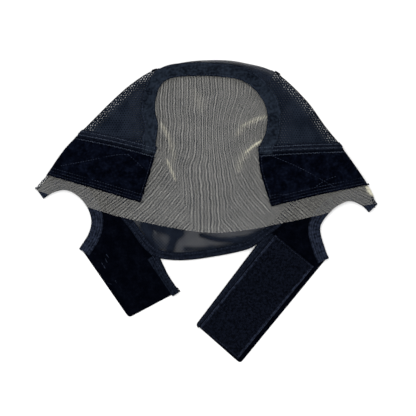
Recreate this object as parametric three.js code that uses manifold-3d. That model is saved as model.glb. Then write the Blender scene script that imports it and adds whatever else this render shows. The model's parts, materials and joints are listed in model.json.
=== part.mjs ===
// A wig cap laid flat with its front side up: a pouch of lace, net and velvet that a head goes into.
// The front lies over the back, both meet at one long fold, and a strap runs out behind each ear.
// Millimetres, +X to the right of a plan of the cap, +Y towards the crown, +Z up off the table.
import * as THREE from "three";
import { mergeVertices } from "three/addons/utils/BufferGeometryUtils.js";
import Module from "manifold-3d";

const wasm = await Module();
wasm.setup();

// The pouch
const HALF_SPAN = 146.5; // from the middle out to the tip in front of each ear
const CROWN_RISE = 130.5; // from the middle up to the fold at the crown
const LOFT = 18; // how far the front is puffed up at its fullest
const MOUTH_LOFT = 8; // the same at the hairline
const SHOULDER = 45; // from the fold in to the full loft
const MOUTH_RUN = 60; // from the hairline up to the full loft

// Cloth, each a wall of its own thickness
const LACE_WALL = 1.1;
const NET_WALL = 1.2;
const SHEER_WALL = 1;
const VELVET_WALL = 1.8;
const TAPE_WALL = 1;
const BAND_WALL = 1.2;
const HOOK_WALL = 2;
const GAP = 0.3; // between pieces that are sewn to each other

// Seams and tapes
const LAP = 4; // how far lace and net run under what covers their edges
const JOIN = 2; // how far the velvet runs under the seam tape of the back
const BAND_WIDTH = 12; // band round the lace window
const SEAM_WIDTH = 6.5; // knitted strip between net and velvet
const NET_HEM = 13; // net that turns under at the fold
const EAR_RADIUS = 25; // notch for the ear
const EAR_TAPE = 10.5; // tape round the notch
const EAR_PROUD = 1.5; // how far that tape's end stands out past the strap
const NAPE_TAPE = 8; // tape along the nape and over the seams of the back

// Straps: their outer edge, their width, and what the inner edge gains towards the root and at the end
const STRAPS = {
  left: { length: 73, width: 48.5, flare: 0, slant: 5.6, turn: -55.3, trim: 7 },
  right: { length: 118.5, width: 50.5, flare: 4.5, slant: -1.7, turn: -129.4, trim: 3.2 },
};
const CORNER = 3; // rounding of a strap's end
const HOOK_START = 14; // along the strap from its root to the hook tape
const HOOK_EDGE = 4; // from the strap's outer edge to the hook tape
const HOOK_END = 2; // from the hook tape to the strap's end

// Lines of the plan, as shares of the half span across and of the crown's rise up
const FOLD = [
  { across: -0.999, up: 0.161 },
  { across: -0.965, up: 0.2 },
  { across: -0.929, up: 0.25 },
  { across: -0.823, up: 0.42 },
  { across: -0.706, up: 0.552 },
  { across: -0.53, up: 0.749 },
  { across: -0.412, up: 0.861 },
  { across: -0.295, up: 0.938 },
  { across: -0.119, up: 0.991 },
  { across: 0.08, up: 1.005 },
  { across: 0.234, up: 0.985 },
  { across: 0.41, up: 0.922 },
  { across: 0.586, up: 0.743 },
  { across: 0.703, up: 0.565 },
  { across: 0.821, up: 0.4 },
  { across: 0.953, up: 0.184 },
  { across: 1.005, up: 0.055 },
];
const HAIRLINE = [
  { across: -1, up: 0.15 },
  { across: -0.92, up: 0.122 },
  { across: -0.688, up: 0.037 },
  { across: -0.498, up: -0.026 },
  { across: -0.297, up: -0.076 },
  { across: -0.1, up: -0.116 },
  { across: 0.06, up: -0.132 },
  { across: 0.25, up: -0.112 },
  { across: 0.43, up: -0.073 },
  { across: 0.62, up: -0.028 },
  { across: 0.85, up: 0.032 },
  { across: 1.01, up: 0.06 },
];
const WINDOW = [
  { across: -0.29, up: 0.38 },
  { across: -0.283, up: 0.48 },
  { across: -0.272, up: 0.567 },
  { across: -0.289, up: 0.65 },
  { across: -0.289, up: 0.73 },
  { across: -0.26, up: 0.83 },
  { across: -0.19, up: 0.883 },
  { across: -0.03, up: 0.895 },
  { across: 0.1, up: 0.888 },
  { across: 0.21, up: 0.865 },
  { across: 0.29, up: 0.8 },
  { across: 0.345, up: 0.71 },
  { across: 0.361, up: 0.62 },
  { across: 0.35, up: 0.52 },
  { across: 0.322, up: 0.45 },
  { across: 0.31, up: 0.385 },
];
const BACK_SEAM = [
  { across: -0.742, up: 0.51 },
  { across: -0.71, up: 0.38 },
  { across: -0.63, up: 0.17 },
  { across: -0.498, up: -0.03 },
  { across: -0.437, up: -0.117 },
  { across: -0.372, up: -0.218 },
  { across: -0.3, up: -0.287 },
  { across: -0.2, up: -0.312 },
  { across: -0.08, up: -0.31 },
  { across: 0.08, up: -0.284 },
  { across: 0.202, up: -0.256 },
  { across: 0.275, up: -0.228 },
  { across: 0.369, up: -0.15 },
  { across: 0.468, up: -0.055 },
  { across: 0.615, up: 0.18 },
  { across: 0.73, up: 0.35 },
  { across: 0.782, up: 0.455 },
];

// What each side has of its own: the velvet patch's edges, the crown seam and the ear notch,
// whose reach is a share of the ear radius, turned from straight out through the crown side to the strap
const SIDES = {
  left: {
    out: -1,
    seam: [
      { across: -0.762, up: 0.505 },
      { across: -0.53, up: 0.45 },
      { across: -0.29, up: 0.38 },
    ],
    inner: [
      { across: -0.29, up: 0.38 },
      { across: -0.317, up: 0.27 },
      { across: -0.376, up: 0.066 },
    ],
    lower: [
      { across: -0.376, up: 0.066 },
      { across: -0.65, up: 0.159 },
      { across: -0.929, up: 0.249 },
    ],
    crownSeam: { across: -0.295, up: 0.938, toAcross: -0.25, toUp: 0.7 },
    ear: { across: -0.841, up: -0.042 },
    notch: [
      { turn: 48, reach: 0.94 },
      { turn: 72, reach: 0.96 },
      { turn: 97, reach: 1.005 },
      { turn: 123, reach: 0.97 },
      { turn: 151, reach: 0.96 },
      { turn: 182, reach: 1.01 },
      { turn: 209, reach: 1.045 },
      { turn: 240, reach: 1.18 },
    ],
  },
  right: {
    out: 1,
    seam: [
      { across: 0.805, up: 0.415 },
      { across: 0.55, up: 0.402 },
      { across: 0.31, up: 0.385 },
    ],
    inner: [
      { across: 0.31, up: 0.385 },
      { across: 0.322, up: 0.26 },
      { across: 0.385, up: 0.04 },
    ],
    lower: [
      { across: 0.385, up: 0.04 },
      { across: 0.65, up: 0.113 },
      { across: 0.953, up: 0.183 },
    ],
    crownSeam: { across: 0.41, up: 0.922, toAcross: 0.3, toUp: 0.7 },
    ear: { across: 0.85, up: -0.121 },
    notch: [
      { turn: 45, reach: 0.91 },
      { turn: 66, reach: 0.965 },
      { turn: 89, reach: 1.03 },
      { turn: 110, reach: 0.98 },
      { turn: 135, reach: 0.945 },
      { turn: 173, reach: 1.03 },
      { turn: 215, reach: 1.05 },
      { turn: 232, reach: 1.175 },
    ],
  },
};

// Ridges in the cloth from start to end, their height and half width as shares of the loft
const FRONT_RIDGES = [
  { across: -0.262, up: 0.56, toAcross: -0.17, toUp: 0.23, height: 0.13, width: 0.3 },
  { across: 0.345, up: 0.622, toAcross: 0.2, toUp: 0.55, height: 0.12, width: 0.3 },
  { across: 0.318, up: 0.455, toAcross: 0.2, toUp: 0.33, height: 0.14, width: 0.3 },
  { across: -0.55, up: 0.72, toAcross: -0.42, toUp: 0.5, height: 0.06, width: 0.5 },
];
const BACK_RIDGES = [
  { across: -0.3, up: -0.05, toAcross: -0.215, toUp: -0.23, height: 0.13, width: 0.3 },
  { across: -0.02, up: -0.12, toAcross: 0.24, toUp: -0.19, height: 0.12, width: 0.3 },
];

// Heights that follow from the walls
const TAPE_LEVEL = VELVET_WALL + GAP;
const FRONT_LEVEL = TAPE_LEVEL + TAPE_WALL + GAP;
const OVERLAY = Math.max(LACE_WALL, NET_WALL, SHEER_WALL) + GAP;

// How finely the cloth is divided
const FRONT_CELL = 7.5;
const BACK_CELL = 9;
const SPLINE_STEP = 6;
const CORNER_STEPS = 3;
const MARGIN = 12; // how far cloth and cutters run past a line that trims them
const REACH = 2 * (HALF_SPAN + CROWN_RISE); // farther than anything here
const EAR_MOUTH = -35; // which way the ear notch opens

const origin = new THREE.Vector2();
const point = (row) => new THREE.Vector2(row.across * HALF_SPAN, row.up * CROWN_RISE);
const polar = (middle, degrees, reach) => {
  const turn = THREE.MathUtils.degToRad(degrees);
  return new THREE.Vector2(Math.cos(turn), Math.sin(turn)).multiplyScalar(reach).add(middle);
};

// A smooth line through points
function smooth(points) {
  const curve = new THREE.SplineCurve(points);
  return curve.getSpacedPoints(Math.round(curve.getLength() / SPLINE_STEP));
}

// A line moved sideways, to the left of its direction
function offset(line, distance) {
  return line.map((p, i) => {
    const before = line[Math.max(0, i - 1)];
    const after = line[Math.min(line.length - 1, i + 1)];
    const along = after.clone().sub(before).normalize();
    return new THREE.Vector2(-along.y, along.x).multiplyScalar(distance).add(p);
  });
}

// A line made longer at its start, or at both ends
function longer(line, length) {
  return [line[0].clone().sub(line[1]).setLength(length).add(line[0]), ...line];
}
const extended = (line, length) => longer(longer(line, length).reverse(), length).reverse();

const ribbon = (line, from, to) => [...offset(line, from), ...offset(line, to).reverse()];

function distanceTo(line, place) {
  const legs = line.slice(1).map((end, i) => {
    const step = end.clone().sub(line[i]);
    const share = place.clone().sub(line[i]).dot(step) / step.lengthSq();
    const foot = line[i].clone().addScaledVector(step, THREE.MathUtils.clamp(share, 0, 1));
    return foot.distanceTo(place);
  });
  return Math.min(...legs);
}

// How far up a line lies at a place across
function upOn(line, x) {
  const after = line.findIndex((p) => p.x >= x);
  const i = THREE.MathUtils.clamp(after < 0 ? line.length - 1 : after, 1, line.length - 1);
  const share = (x - line[i - 1].x) / (line[i].x - line[i - 1].x);
  return THREE.MathUtils.lerp(line[i - 1].y, line[i].y, THREE.MathUtils.clamp(share, 0, 1));
}

const foldLine = smooth(FOLD.map(point));
const hairline = smooth(HAIRLINE.map(point));
const windowLine = smooth(WINDOW.map(point));
const backSeamLine = smooth(BACK_SEAM.map(point));
const seamLine = (side) => smooth(side.seam.map(point));
const innerLine = (side) => smooth(side.inner.map(point));
const lowerLine = (side) => smooth(side.lower.map(point));

// The notch's edge runs clockwise, so the cloth is on its left
function earLine(side) {
  const turns = side.notch.map(({ turn, reach }) => {
    const degrees = side.out > 0 ? turn : 180 - turn;
    return polar(point(side.ear), degrees, reach * EAR_RADIUS);
  });
  const line = smooth(turns);
  return side.out > 0 ? line.reverse() : line;
}

// Where a strap's outer edge starts, which way it runs, and which way its width goes
function strapFrame(name) {
  const strap = STRAPS[name];
  const side = SIDES[name];
  const edge = earLine(side);
  const along = polar(origin, strap.turn, 1);
  const inward = polar(origin, strap.turn - 90 * side.out, 1);
  const root = (side.out > 0 ? edge[0] : edge.at(-1)).clone().addScaledVector(inward, EAR_PROUD);
  return (far, across) => root.clone().addScaledVector(along, far).addScaledVector(inward, across);
}

function ridges(rows, place) {
  return rows.reduce((sum, row) => {
    const line = [point(row), point({ across: row.toAcross, up: row.toUp })];
    const away = distanceTo(line, place) / (row.width * LOFT);
    return sum + row.height * LOFT * Math.exp(-away * away);
  }, 0);
}

// The underside of the front: low at the fold, full in the middle, lower again at the hairline
function frontHeight(x, y) {
  const place = new THREE.Vector2(x, y);
  const inside = y < upOn(foldLine, x);
  const inward = inside ? Math.min(1, distanceTo(foldLine, place) / SHOULDER) : 0;
  const upward = THREE.MathUtils.smoothstep(y - upOn(hairline, x), 0, MOUTH_RUN);
  const loft = THREE.MathUtils.lerp(MOUTH_LOFT, LOFT, upward);
  return FRONT_LEVEL + loft * Math.sin((inward * Math.PI) / 2) + inward * ridges(FRONT_RIDGES, place);
}

const backRidges = (x, y) => ridges(BACK_RIDGES, new THREE.Vector2(x, y));

// A closed geometry as a solid that can be cut and joined
function solidOf(geometry) {
  geometry.deleteAttribute("normal");
  geometry.deleteAttribute("uv");
  const merged = mergeVertices(geometry, 1e-4);
  return new wasm.Manifold(
    new wasm.Mesh({
      numProp: 3,
      vertProperties: merged.attributes.position.array,
      triVerts: new Uint32Array(merged.index.array),
    }),
  );
}

// An outline stood up between two heights
function prism(outline, low = -REACH, high = REACH) {
  const shape = new THREE.Shape(outline);
  const made = new THREE.ExtrudeGeometry(shape, { depth: high - low, bevelEnabled: false });
  return solidOf(made.translate(0, 0, low));
}

// A slab over the whole plan between two height functions
function sheet(under, over, cell = FRONT_CELL) {
  const left = foldLine[0].x - MARGIN;
  const low = Math.min(...backSeamLine.map((p) => p.y)) - MARGIN;
  const columns = Math.ceil((foldLine.at(-1).x + MARGIN - left) / cell);
  const rows = Math.ceil((Math.max(...foldLine.map((p) => p.y)) + MARGIN - low) / cell);
  const positions = [];
  const faces = [];
  for (const height of [under, over]) {
    for (let j = 0; j <= rows; j += 1) {
      for (let i = 0; i <= columns; i += 1) {
        const x = left + i * cell;
        const y = low + j * cell;
        positions.push(x, y, height(x, y));
      }
    }
  }
  const at = (layer, i, j) => (layer * (rows + 1) + j) * (columns + 1) + i;
  const quad = (a, b, c, d) => faces.push(a, b, c, a, c, d);
  for (let j = 0; j < rows; j += 1) {
    for (let i = 0; i < columns; i += 1) {
      quad(at(1, i, j), at(1, i + 1, j), at(1, i + 1, j + 1), at(1, i, j + 1));
      quad(at(0, i, j), at(0, i, j + 1), at(0, i + 1, j + 1), at(0, i + 1, j));
    }
  }
  for (let i = 0; i < columns; i += 1) {
    quad(at(0, i, 0), at(0, i + 1, 0), at(1, i + 1, 0), at(1, i, 0));
    quad(at(0, i + 1, rows), at(0, i, rows), at(1, i, rows), at(1, i + 1, rows));
  }
  for (let j = 0; j < rows; j += 1) {
    quad(at(0, 0, j + 1), at(0, 0, j), at(1, 0, j), at(1, 0, j + 1));
    quad(at(0, columns, j), at(0, columns, j + 1), at(1, columns, j + 1), at(1, columns, j));
  }
  const made = new THREE.BufferGeometry();
  made.setAttribute("position", new THREE.Float32BufferAttribute(positions, 3));
  made.setIndex(faces);
  return solidOf(made);
}

// Zones of the plan, as tall prisms
const below = (line) => [
  ...line,
  new THREE.Vector2(line.at(-1).x, -REACH),
  new THREE.Vector2(line[0].x, -REACH),
];
const foldZone = (inset) => prism(below(offset(foldLine, -inset)));
const aboveHairline = prism([
  ...extended(hairline, MARGIN),
  new THREE.Vector2(REACH, REACH),
  new THREE.Vector2(-REACH, REACH),
]);
const insideBackSeam = (inset) =>
  prism([
    ...offset(backSeamLine, inset),
    new THREE.Vector2(REACH, REACH),
    new THREE.Vector2(-REACH, REACH),
  ]);
const windowZone = (wider) => {
  const left = innerLine(SIDES.left).reverse();
  const edge = [...left.slice(0, -1), ...windowLine, ...innerLine(SIDES.right).slice(1)];
  return prism(below(offset(edge, wider)));
};
const earHole = (side) => {
  const mouth = polar(point(side.ear), side.out > 0 ? EAR_MOUTH : 180 - EAR_MOUTH, REACH);
  return prism([...earLine(side), mouth]);
};
const seamZone = (side, under, over) => {
  const line = longer(seamLine(side), MARGIN);
  return prism(ribbon(line, side.out * under, -side.out * over));
};
const velvetZone = (side, wider) => {
  const seam = offset(seamLine(side), side.out * -wider);
  const far = new THREE.Vector2(side.out * MARGIN, 0);
  const lower = lowerLine(side);
  return prism([
    seam[0].clone().add(far),
    ...seam,
    ...innerLine(side).slice(1),
    ...lower.slice(1),
    lower.at(-1).clone().add(far),
  ]);
};
const belowSeam = (side, lift) => {
  const line = extended(seamLine(side), MARGIN);
  const far = new THREE.Vector2(side.out * REACH, 0);
  const edge = [line[0].clone().add(far), ...line];
  return prism(below(side.out > 0 ? offset(edge, lift * -side.out).reverse() : offset(edge, lift)));
};
const hairBandZone = () => {
  const line = [...lowerLine(SIDES.left).reverse(), ...lowerLine(SIDES.right)];
  return prism(below(offset(extended(line, MARGIN), LAP)));
};
const crownSeam = (side) => {
  const { across, up, toAcross, toUp } = side.crownSeam;
  const inner = point({ across: toAcross, up: toUp });
  const outer = point({ across, up });
  return [inner, outer.clone().sub(inner).setLength(MARGIN).add(outer)];
};
const sideZone = (side) => {
  const [inner, outer] = crownSeam(side);
  return prism([
    inner,
    outer,
    new THREE.Vector2(side.out * REACH, outer.y),
    new THREE.Vector2(side.out * REACH, -REACH),
    new THREE.Vector2(inner.x, -REACH),
  ]);
};
const crownZone = () => {
  const inset = (side) => crownSeam(side).map((p) => p.add(new THREE.Vector2(-side.out * GAP, 0)));
  return prism([...inset(SIDES.left), ...inset(SIDES.right).reverse()]);
};

// Cloth of the front that turns down at the fold: over a zone, at a level above the front's underside
function wrapped(zone, level, wall, inset, hem) {
  const skin = sheet(() => 0, (x, y) => frontHeight(x, y) + level + wall).intersect(zone);
  const room = sheet(() => wall, (x, y) => frontHeight(x, y) + level).intersect(foldZone(inset));
  const open = sheet(() => -wall, (x, y) => frontHeight(x, y) + level).intersect(foldZone(hem));
  return skin.subtract(room).subtract(open);
}

const overFront = (level, wall) =>
  sheet((x, y) => frontHeight(x, y) + level, (x, y) => frontHeight(x, y) + level + wall);

// The see-through front with its window and the band along the hairline
function lacePanel() {
  const zone = windowZone(LAP).add(hairBandZone()).intersect(foldZone(0)).intersect(aboveHairline);
  const turned = foldZone(0).subtract(foldZone(VELVET_WALL + GAP));
  const cuts = Object.values(SIDES).map((side) =>
    earHole(side).add(velvetZone(side, GAP).intersect(turned)),
  );
  return overFront(0, LACE_WALL).intersect(cuts.reduce((rest, cut) => rest.subtract(cut), zone));
}

// The doubled band that frames the window from one temple over the crown to the other
function crownBand() {
  const zone = prism(ribbon(windowLine, 0, BAND_WIDTH)).intersect(foldZone(GAP));
  const temples = Object.values(SIDES).map((side) => belowSeam(side, SEAM_WIDTH + GAP));
  return overFront(OVERLAY, BAND_WALL).intersect(temples.reduce((rest, cut) => rest.subtract(cut), zone));
}

// The stretch net between crown and temple, turned under at the fold
function sideMesh(name) {
  const side = SIDES[name];
  const temple = belowSeam(side, SEAM_WIDTH - LAP);
  const zone = sideZone(side).intersect(foldZone(0)).subtract(windowZone(BAND_WIDTH - LAP));
  const net = wrapped(zone.subtract(temple), 0, NET_WALL, NET_WALL, NET_HEM);
  const strapSide = sheet(() => -NET_WALL, () => TAPE_LEVEL).subtract(insideBackSeam(JOIN + GAP));
  return net.subtract(strapSide);
}

// The sheer back, from the nape up to the crown fold and over it to the window's band
function backPanel() {
  const crown = crownZone().intersect(foldZone(0)).subtract(windowZone(BAND_WIDTH - LAP));
  const over = wrapped(crown, 0, SHEER_WALL, SHEER_WALL, SHEER_WALL);
  const hems = Object.values(SIDES).map((side) => sideZone(side).subtract(foldZone(NET_HEM + GAP)));
  const zone = hems.reduce((rest, hem) => rest.subtract(hem), insideBackSeam(JOIN + GAP));
  const under = sheet(backRidges, (x, y) => backRidges(x, y) + SHEER_WALL, BACK_CELL);
  return under.intersect(zone.intersect(foldZone(0))).add(over);
}

const templeGrip = (name) => {
  const zone = velvetZone(SIDES[name], -GAP).intersect(foldZone(0));
  return wrapped(zone, OVERLAY, VELVET_WALL, VELVET_WALL, VELVET_WALL);
};

const templeSeam = (name) => {
  const zone = seamZone(SIDES[name], 0, SEAM_WIDTH).intersect(foldZone(-GAP - TAPE_WALL));
  return wrapped(zone.intersect(sideZone(SIDES[name])), OVERLAY, TAPE_WALL, -GAP, -GAP);
};

// Points round a corner instead of the corner
function rounded(before, corner, after) {
  const from = before.clone().sub(corner).setLength(CORNER).add(corner);
  const to = after.clone().sub(corner).setLength(CORNER).add(corner);
  return new THREE.QuadraticBezierCurve(from, corner, to).getPoints(CORNER_STEPS);
}

// The strap's own outline past its root, and with the velvet behind the ear up to the fold
function strapEnd(name, edge) {
  const { length, width, flare, slant } = STRAPS[name];
  const at = strapFrame(name);
  const [root, outer] = [at(0, 0), at(length, 0)];
  const [inner, top] = [at(length + slant, width - edge), at(0, width + flare - edge)];
  return [root, ...rounded(root, outer, inner), ...rounded(outer, inner, top), top];
}

function strap(name) {
  const side = SIDES[name];
  const edge = TAPE_WALL + GAP;
  const ear = side.out > 0 ? earLine(side).reverse() : earLine(side);
  const cloth = offset(ear, -side.out * edge);
  const seam = side.out > 0 ? backSeamLine.at(-1) : backSeamLine[0];
  const outline = [
    ...cloth.slice(0, -1),
    ...strapEnd(name, edge),
    new THREE.Vector2(0, seam.y),
    new THREE.Vector2(side.out * (HALF_SPAN + MARGIN), seam.y),
    offset(ear, -side.out * EAR_TAPE * 2)[0],
  ];
  const panel = prism(outline, 0, VELVET_WALL).intersect(foldZone(VELVET_WALL + GAP));
  const tape = prism(ribbon(extended(earLine(side), GAP), 0, edge));
  return panel.subtract(insideBackSeam(JOIN)).subtract(tape);
}

// Tape round the ear notch: flat on the velvet, and down over its edge
function earBinding(name) {
  const line = earLine(SIDES[name]);
  const flat = prism(ribbon(line, 0, EAR_TAPE), TAPE_LEVEL, TAPE_LEVEL + TAPE_WALL);
  return flat.add(prism(ribbon(line, 0, TAPE_WALL), 0, TAPE_LEVEL + TAPE_WALL));
}

// The ground that a strap covers, from its root on
function strapZone(name, wider) {
  const { length, width, flare, slant } = STRAPS[name];
  const at = strapFrame(name);
  return prism([
    at(-EAR_TAPE, -wider),
    at(length, -wider),
    at(length + slant, width + wider),
    at(-EAR_TAPE, width + flare + wider),
  ]);
}

// Tape over the seams of the back, turned down over the nape's edge between the straps
function napeBinding() {
  const over = (x, y) => TAPE_LEVEL + backRidges(x, y);
  const top = (x, y) => over(x, y) + TAPE_WALL;
  const strip = prism(ribbon(backSeamLine, 0, NAPE_TAPE)).intersect(foldZone(NET_HEM + GAP));
  const flat = sheet(over, top, BACK_CELL).intersect(strip);
  const edge = sheet(() => 0, top, BACK_CELL).intersect(prism(ribbon(backSeamLine, 0, TAPE_WALL)));
  const low = Math.min(...Object.values(SIDES).map((side) => point(side.ear).y));
  const corners = [[-REACH, low], [REACH, low], [REACH, REACH], [-REACH, REACH]];
  const head = prism(corners.map(([x, y]) => new THREE.Vector2(x, y)));
  const straps = strapZone("left", GAP).add(strapZone("right", GAP));
  return flat.add(edge.subtract(straps).subtract(head));
}

// Tape along a strap's inner edge, from the nape tape to the strap's end
function strapTrim(name) {
  const { length, width, flare, slant, trim } = STRAPS[name];
  const at = strapFrame(name);
  const far = length + slant + TAPE_WALL;
  const strip = (from, to) => [at(0, from), at(far, to), at(far, width), at(0, width + flare)];
  const flat = prism(strip(width - trim, width - trim), TAPE_LEVEL, TAPE_LEVEL + TAPE_WALL);
  const leg = strip(width + flare - TAPE_WALL, width - TAPE_WALL);
  return flat.add(prism(leg, 0, TAPE_LEVEL + TAPE_WALL)).subtract(insideBackSeam(-GAP));
}

// The hook tape that the other strap presses onto
function hookPatch() {
  const { length, width, trim } = STRAPS.right;
  const at = strapFrame("right");
  const end = length - HOOK_END;
  const inner = width - trim - GAP;
  const outline = [at(HOOK_START, HOOK_EDGE), at(end, HOOK_EDGE), at(end, inner), at(HOOK_START, inner)];
  return prism(outline, TAPE_LEVEL, TAPE_LEVEL + HOOK_WALL);
}

const CLOTHS = {
  lace: new THREE.MeshStandardMaterial({ color: 0x8f8a7e, roughness: 0.8, metalness: 0 }),
  net: new THREE.MeshStandardMaterial({ color: 0x1c232d, roughness: 0.85, metalness: 0 }),
  sheer: new THREE.MeshStandardMaterial({ color: 0x3c3d43, roughness: 0.8, metalness: 0 }),
  velvet: new THREE.MeshStandardMaterial({ color: 0x050812, roughness: 0.95, metalness: 0 }),
  tape: new THREE.MeshStandardMaterial({ color: 0x191d29, roughness: 0.85, metalness: 0 }),
  hook: new THREE.MeshStandardMaterial({ color: 0x11141e, roughness: 0.6, metalness: 0 }),
};

function meshOf(name, solid, cloth) {
  const { vertProperties, triVerts } = solid.getMesh();
  const geometry = new THREE.BufferGeometry();
  geometry.setAttribute("position", new THREE.Float32BufferAttribute(vertProperties, 3));
  geometry.setIndex([...triVerts]);
  geometry.computeVertexNormals();
  const mesh = new THREE.Mesh(geometry, CLOTHS[cloth]);
  mesh.name = name;
  return mesh;
}

const cap = new THREE.Group();
cap.add(
  meshOf("lace_panel", lacePanel(), "lace"),
  meshOf("crown_band", crownBand(), "net"),
  meshOf("back_panel", backPanel(), "sheer"),
  meshOf("nape_binding", napeBinding(), "tape"),
  meshOf("hook_patch", hookPatch(), "hook"),
);
for (const name of Object.keys(SIDES)) {
  cap.add(
    meshOf(`side_mesh_${name}`, sideMesh(name), "net"),
    meshOf(`temple_seam_${name}`, templeSeam(name), "tape"),
    meshOf(`temple_grip_${name}`, templeGrip(name), "velvet"),
    meshOf(`ear_binding_${name}`, earBinding(name), "tape"),
    meshOf(`strap_${name}`, strap(name), "velvet"),
    meshOf(`strap_trim_${name}`, strapTrim(name), "tape"),
  );
}

// The origin is the middle of the plan, on the table
const box = new THREE.Box3().setFromObject(cap);
cap.position.set(-(box.min.x + box.max.x) / 2, -(box.min.y + box.max.y) / 2, -box.min.z);

export default cap;
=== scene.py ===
# %% [markdown]
# # A wig cap, laid flat
# A wig cap is a small stretch pouch that hair is sewn onto. It is cut like any garment: a see-through
# lace front with a window in it, soft net at the sides, a sheer back, velvet where it has to grip the
# temples, and two velvet straps that close behind the neck. Here it lies on a table with its front up,
# so we look at the lace from outside and, past the hairline, into the pouch. This notebook cuts each
# piece of cloth flat, as a cutter would, then folds it over the edge of the pouch and lays it in place.
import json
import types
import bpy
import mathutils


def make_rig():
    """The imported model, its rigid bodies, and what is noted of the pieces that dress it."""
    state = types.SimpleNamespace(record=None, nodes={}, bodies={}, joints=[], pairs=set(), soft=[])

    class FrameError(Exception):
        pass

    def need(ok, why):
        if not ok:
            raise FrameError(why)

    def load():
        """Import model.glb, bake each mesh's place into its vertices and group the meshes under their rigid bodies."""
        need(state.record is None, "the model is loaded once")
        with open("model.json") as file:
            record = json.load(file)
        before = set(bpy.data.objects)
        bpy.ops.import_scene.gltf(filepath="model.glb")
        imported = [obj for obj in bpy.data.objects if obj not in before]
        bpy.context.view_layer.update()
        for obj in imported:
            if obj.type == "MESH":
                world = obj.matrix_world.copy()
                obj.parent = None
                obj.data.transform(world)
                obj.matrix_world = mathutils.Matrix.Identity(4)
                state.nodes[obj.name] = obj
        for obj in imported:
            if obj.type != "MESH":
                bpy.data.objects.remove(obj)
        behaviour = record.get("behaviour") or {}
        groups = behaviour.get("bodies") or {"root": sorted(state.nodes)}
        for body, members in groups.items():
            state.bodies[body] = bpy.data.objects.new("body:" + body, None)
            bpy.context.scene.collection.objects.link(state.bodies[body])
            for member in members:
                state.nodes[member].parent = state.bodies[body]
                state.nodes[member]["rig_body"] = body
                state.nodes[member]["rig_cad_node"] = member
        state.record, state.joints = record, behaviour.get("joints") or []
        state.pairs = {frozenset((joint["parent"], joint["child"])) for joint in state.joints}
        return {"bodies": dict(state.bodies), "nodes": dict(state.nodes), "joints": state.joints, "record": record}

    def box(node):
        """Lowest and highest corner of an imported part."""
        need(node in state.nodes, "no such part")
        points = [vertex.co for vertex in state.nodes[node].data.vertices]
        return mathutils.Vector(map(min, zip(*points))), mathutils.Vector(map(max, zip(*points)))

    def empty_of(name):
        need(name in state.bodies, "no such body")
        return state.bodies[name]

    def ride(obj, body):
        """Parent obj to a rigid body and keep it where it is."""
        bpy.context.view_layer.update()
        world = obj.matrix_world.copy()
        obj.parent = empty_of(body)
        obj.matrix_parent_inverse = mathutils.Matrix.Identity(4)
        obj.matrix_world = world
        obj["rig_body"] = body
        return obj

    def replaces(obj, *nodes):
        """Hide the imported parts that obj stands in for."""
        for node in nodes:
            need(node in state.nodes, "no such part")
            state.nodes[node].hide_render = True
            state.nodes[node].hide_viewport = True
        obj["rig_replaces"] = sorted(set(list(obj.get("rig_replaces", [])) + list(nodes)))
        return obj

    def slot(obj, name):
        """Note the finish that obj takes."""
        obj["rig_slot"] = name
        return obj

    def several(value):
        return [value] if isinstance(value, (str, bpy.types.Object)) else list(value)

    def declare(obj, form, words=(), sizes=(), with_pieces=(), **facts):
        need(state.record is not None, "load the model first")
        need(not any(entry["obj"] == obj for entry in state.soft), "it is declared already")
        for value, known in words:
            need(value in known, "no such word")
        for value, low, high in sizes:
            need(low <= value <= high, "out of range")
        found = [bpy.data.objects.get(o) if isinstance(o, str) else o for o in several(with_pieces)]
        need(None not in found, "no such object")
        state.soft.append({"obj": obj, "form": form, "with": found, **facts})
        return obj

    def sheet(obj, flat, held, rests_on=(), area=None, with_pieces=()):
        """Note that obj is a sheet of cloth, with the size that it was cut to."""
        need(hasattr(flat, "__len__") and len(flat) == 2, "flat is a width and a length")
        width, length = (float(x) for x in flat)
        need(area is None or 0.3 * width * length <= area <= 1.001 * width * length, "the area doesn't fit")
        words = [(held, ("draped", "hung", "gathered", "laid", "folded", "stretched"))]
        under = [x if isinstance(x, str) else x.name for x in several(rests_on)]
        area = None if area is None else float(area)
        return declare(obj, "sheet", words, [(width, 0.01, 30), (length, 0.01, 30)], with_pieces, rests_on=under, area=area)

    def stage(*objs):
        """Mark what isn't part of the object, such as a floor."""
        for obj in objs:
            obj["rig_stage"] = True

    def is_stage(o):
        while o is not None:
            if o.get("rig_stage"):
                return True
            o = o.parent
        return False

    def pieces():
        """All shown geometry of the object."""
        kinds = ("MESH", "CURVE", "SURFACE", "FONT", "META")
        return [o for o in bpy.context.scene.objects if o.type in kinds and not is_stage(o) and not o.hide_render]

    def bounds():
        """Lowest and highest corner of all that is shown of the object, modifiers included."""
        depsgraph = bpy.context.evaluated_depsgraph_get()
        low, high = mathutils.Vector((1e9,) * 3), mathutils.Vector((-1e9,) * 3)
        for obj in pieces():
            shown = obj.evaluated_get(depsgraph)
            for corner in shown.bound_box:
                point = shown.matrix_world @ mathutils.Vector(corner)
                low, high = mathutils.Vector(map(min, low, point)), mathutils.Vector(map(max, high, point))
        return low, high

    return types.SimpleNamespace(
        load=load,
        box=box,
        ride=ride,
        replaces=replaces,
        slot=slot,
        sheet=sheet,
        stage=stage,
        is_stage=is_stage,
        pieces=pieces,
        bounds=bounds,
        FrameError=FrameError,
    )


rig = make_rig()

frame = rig.load()
SOLID_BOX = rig.bounds()

import math

import bpy
import numpy as np
from mathutils import Vector
from mathutils.geometry import delaunay_2d_cdt

MM = 0.001
print("nodes:", len(frame["nodes"]), "box:", [round(side / MM, 1) for side in SOLID_BOX[1] - SOLID_BOX[0]])

# %% [markdown]
# ## Sizes
# All sizes are those of the solid model, in metres. The lines of the plan are kept as short tables of
# shares: the first number runs across, from the middle to the tip at the ear, and the second runs up,
# from the middle to the fold at the crown. A smooth line is drawn through each table later.

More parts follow.
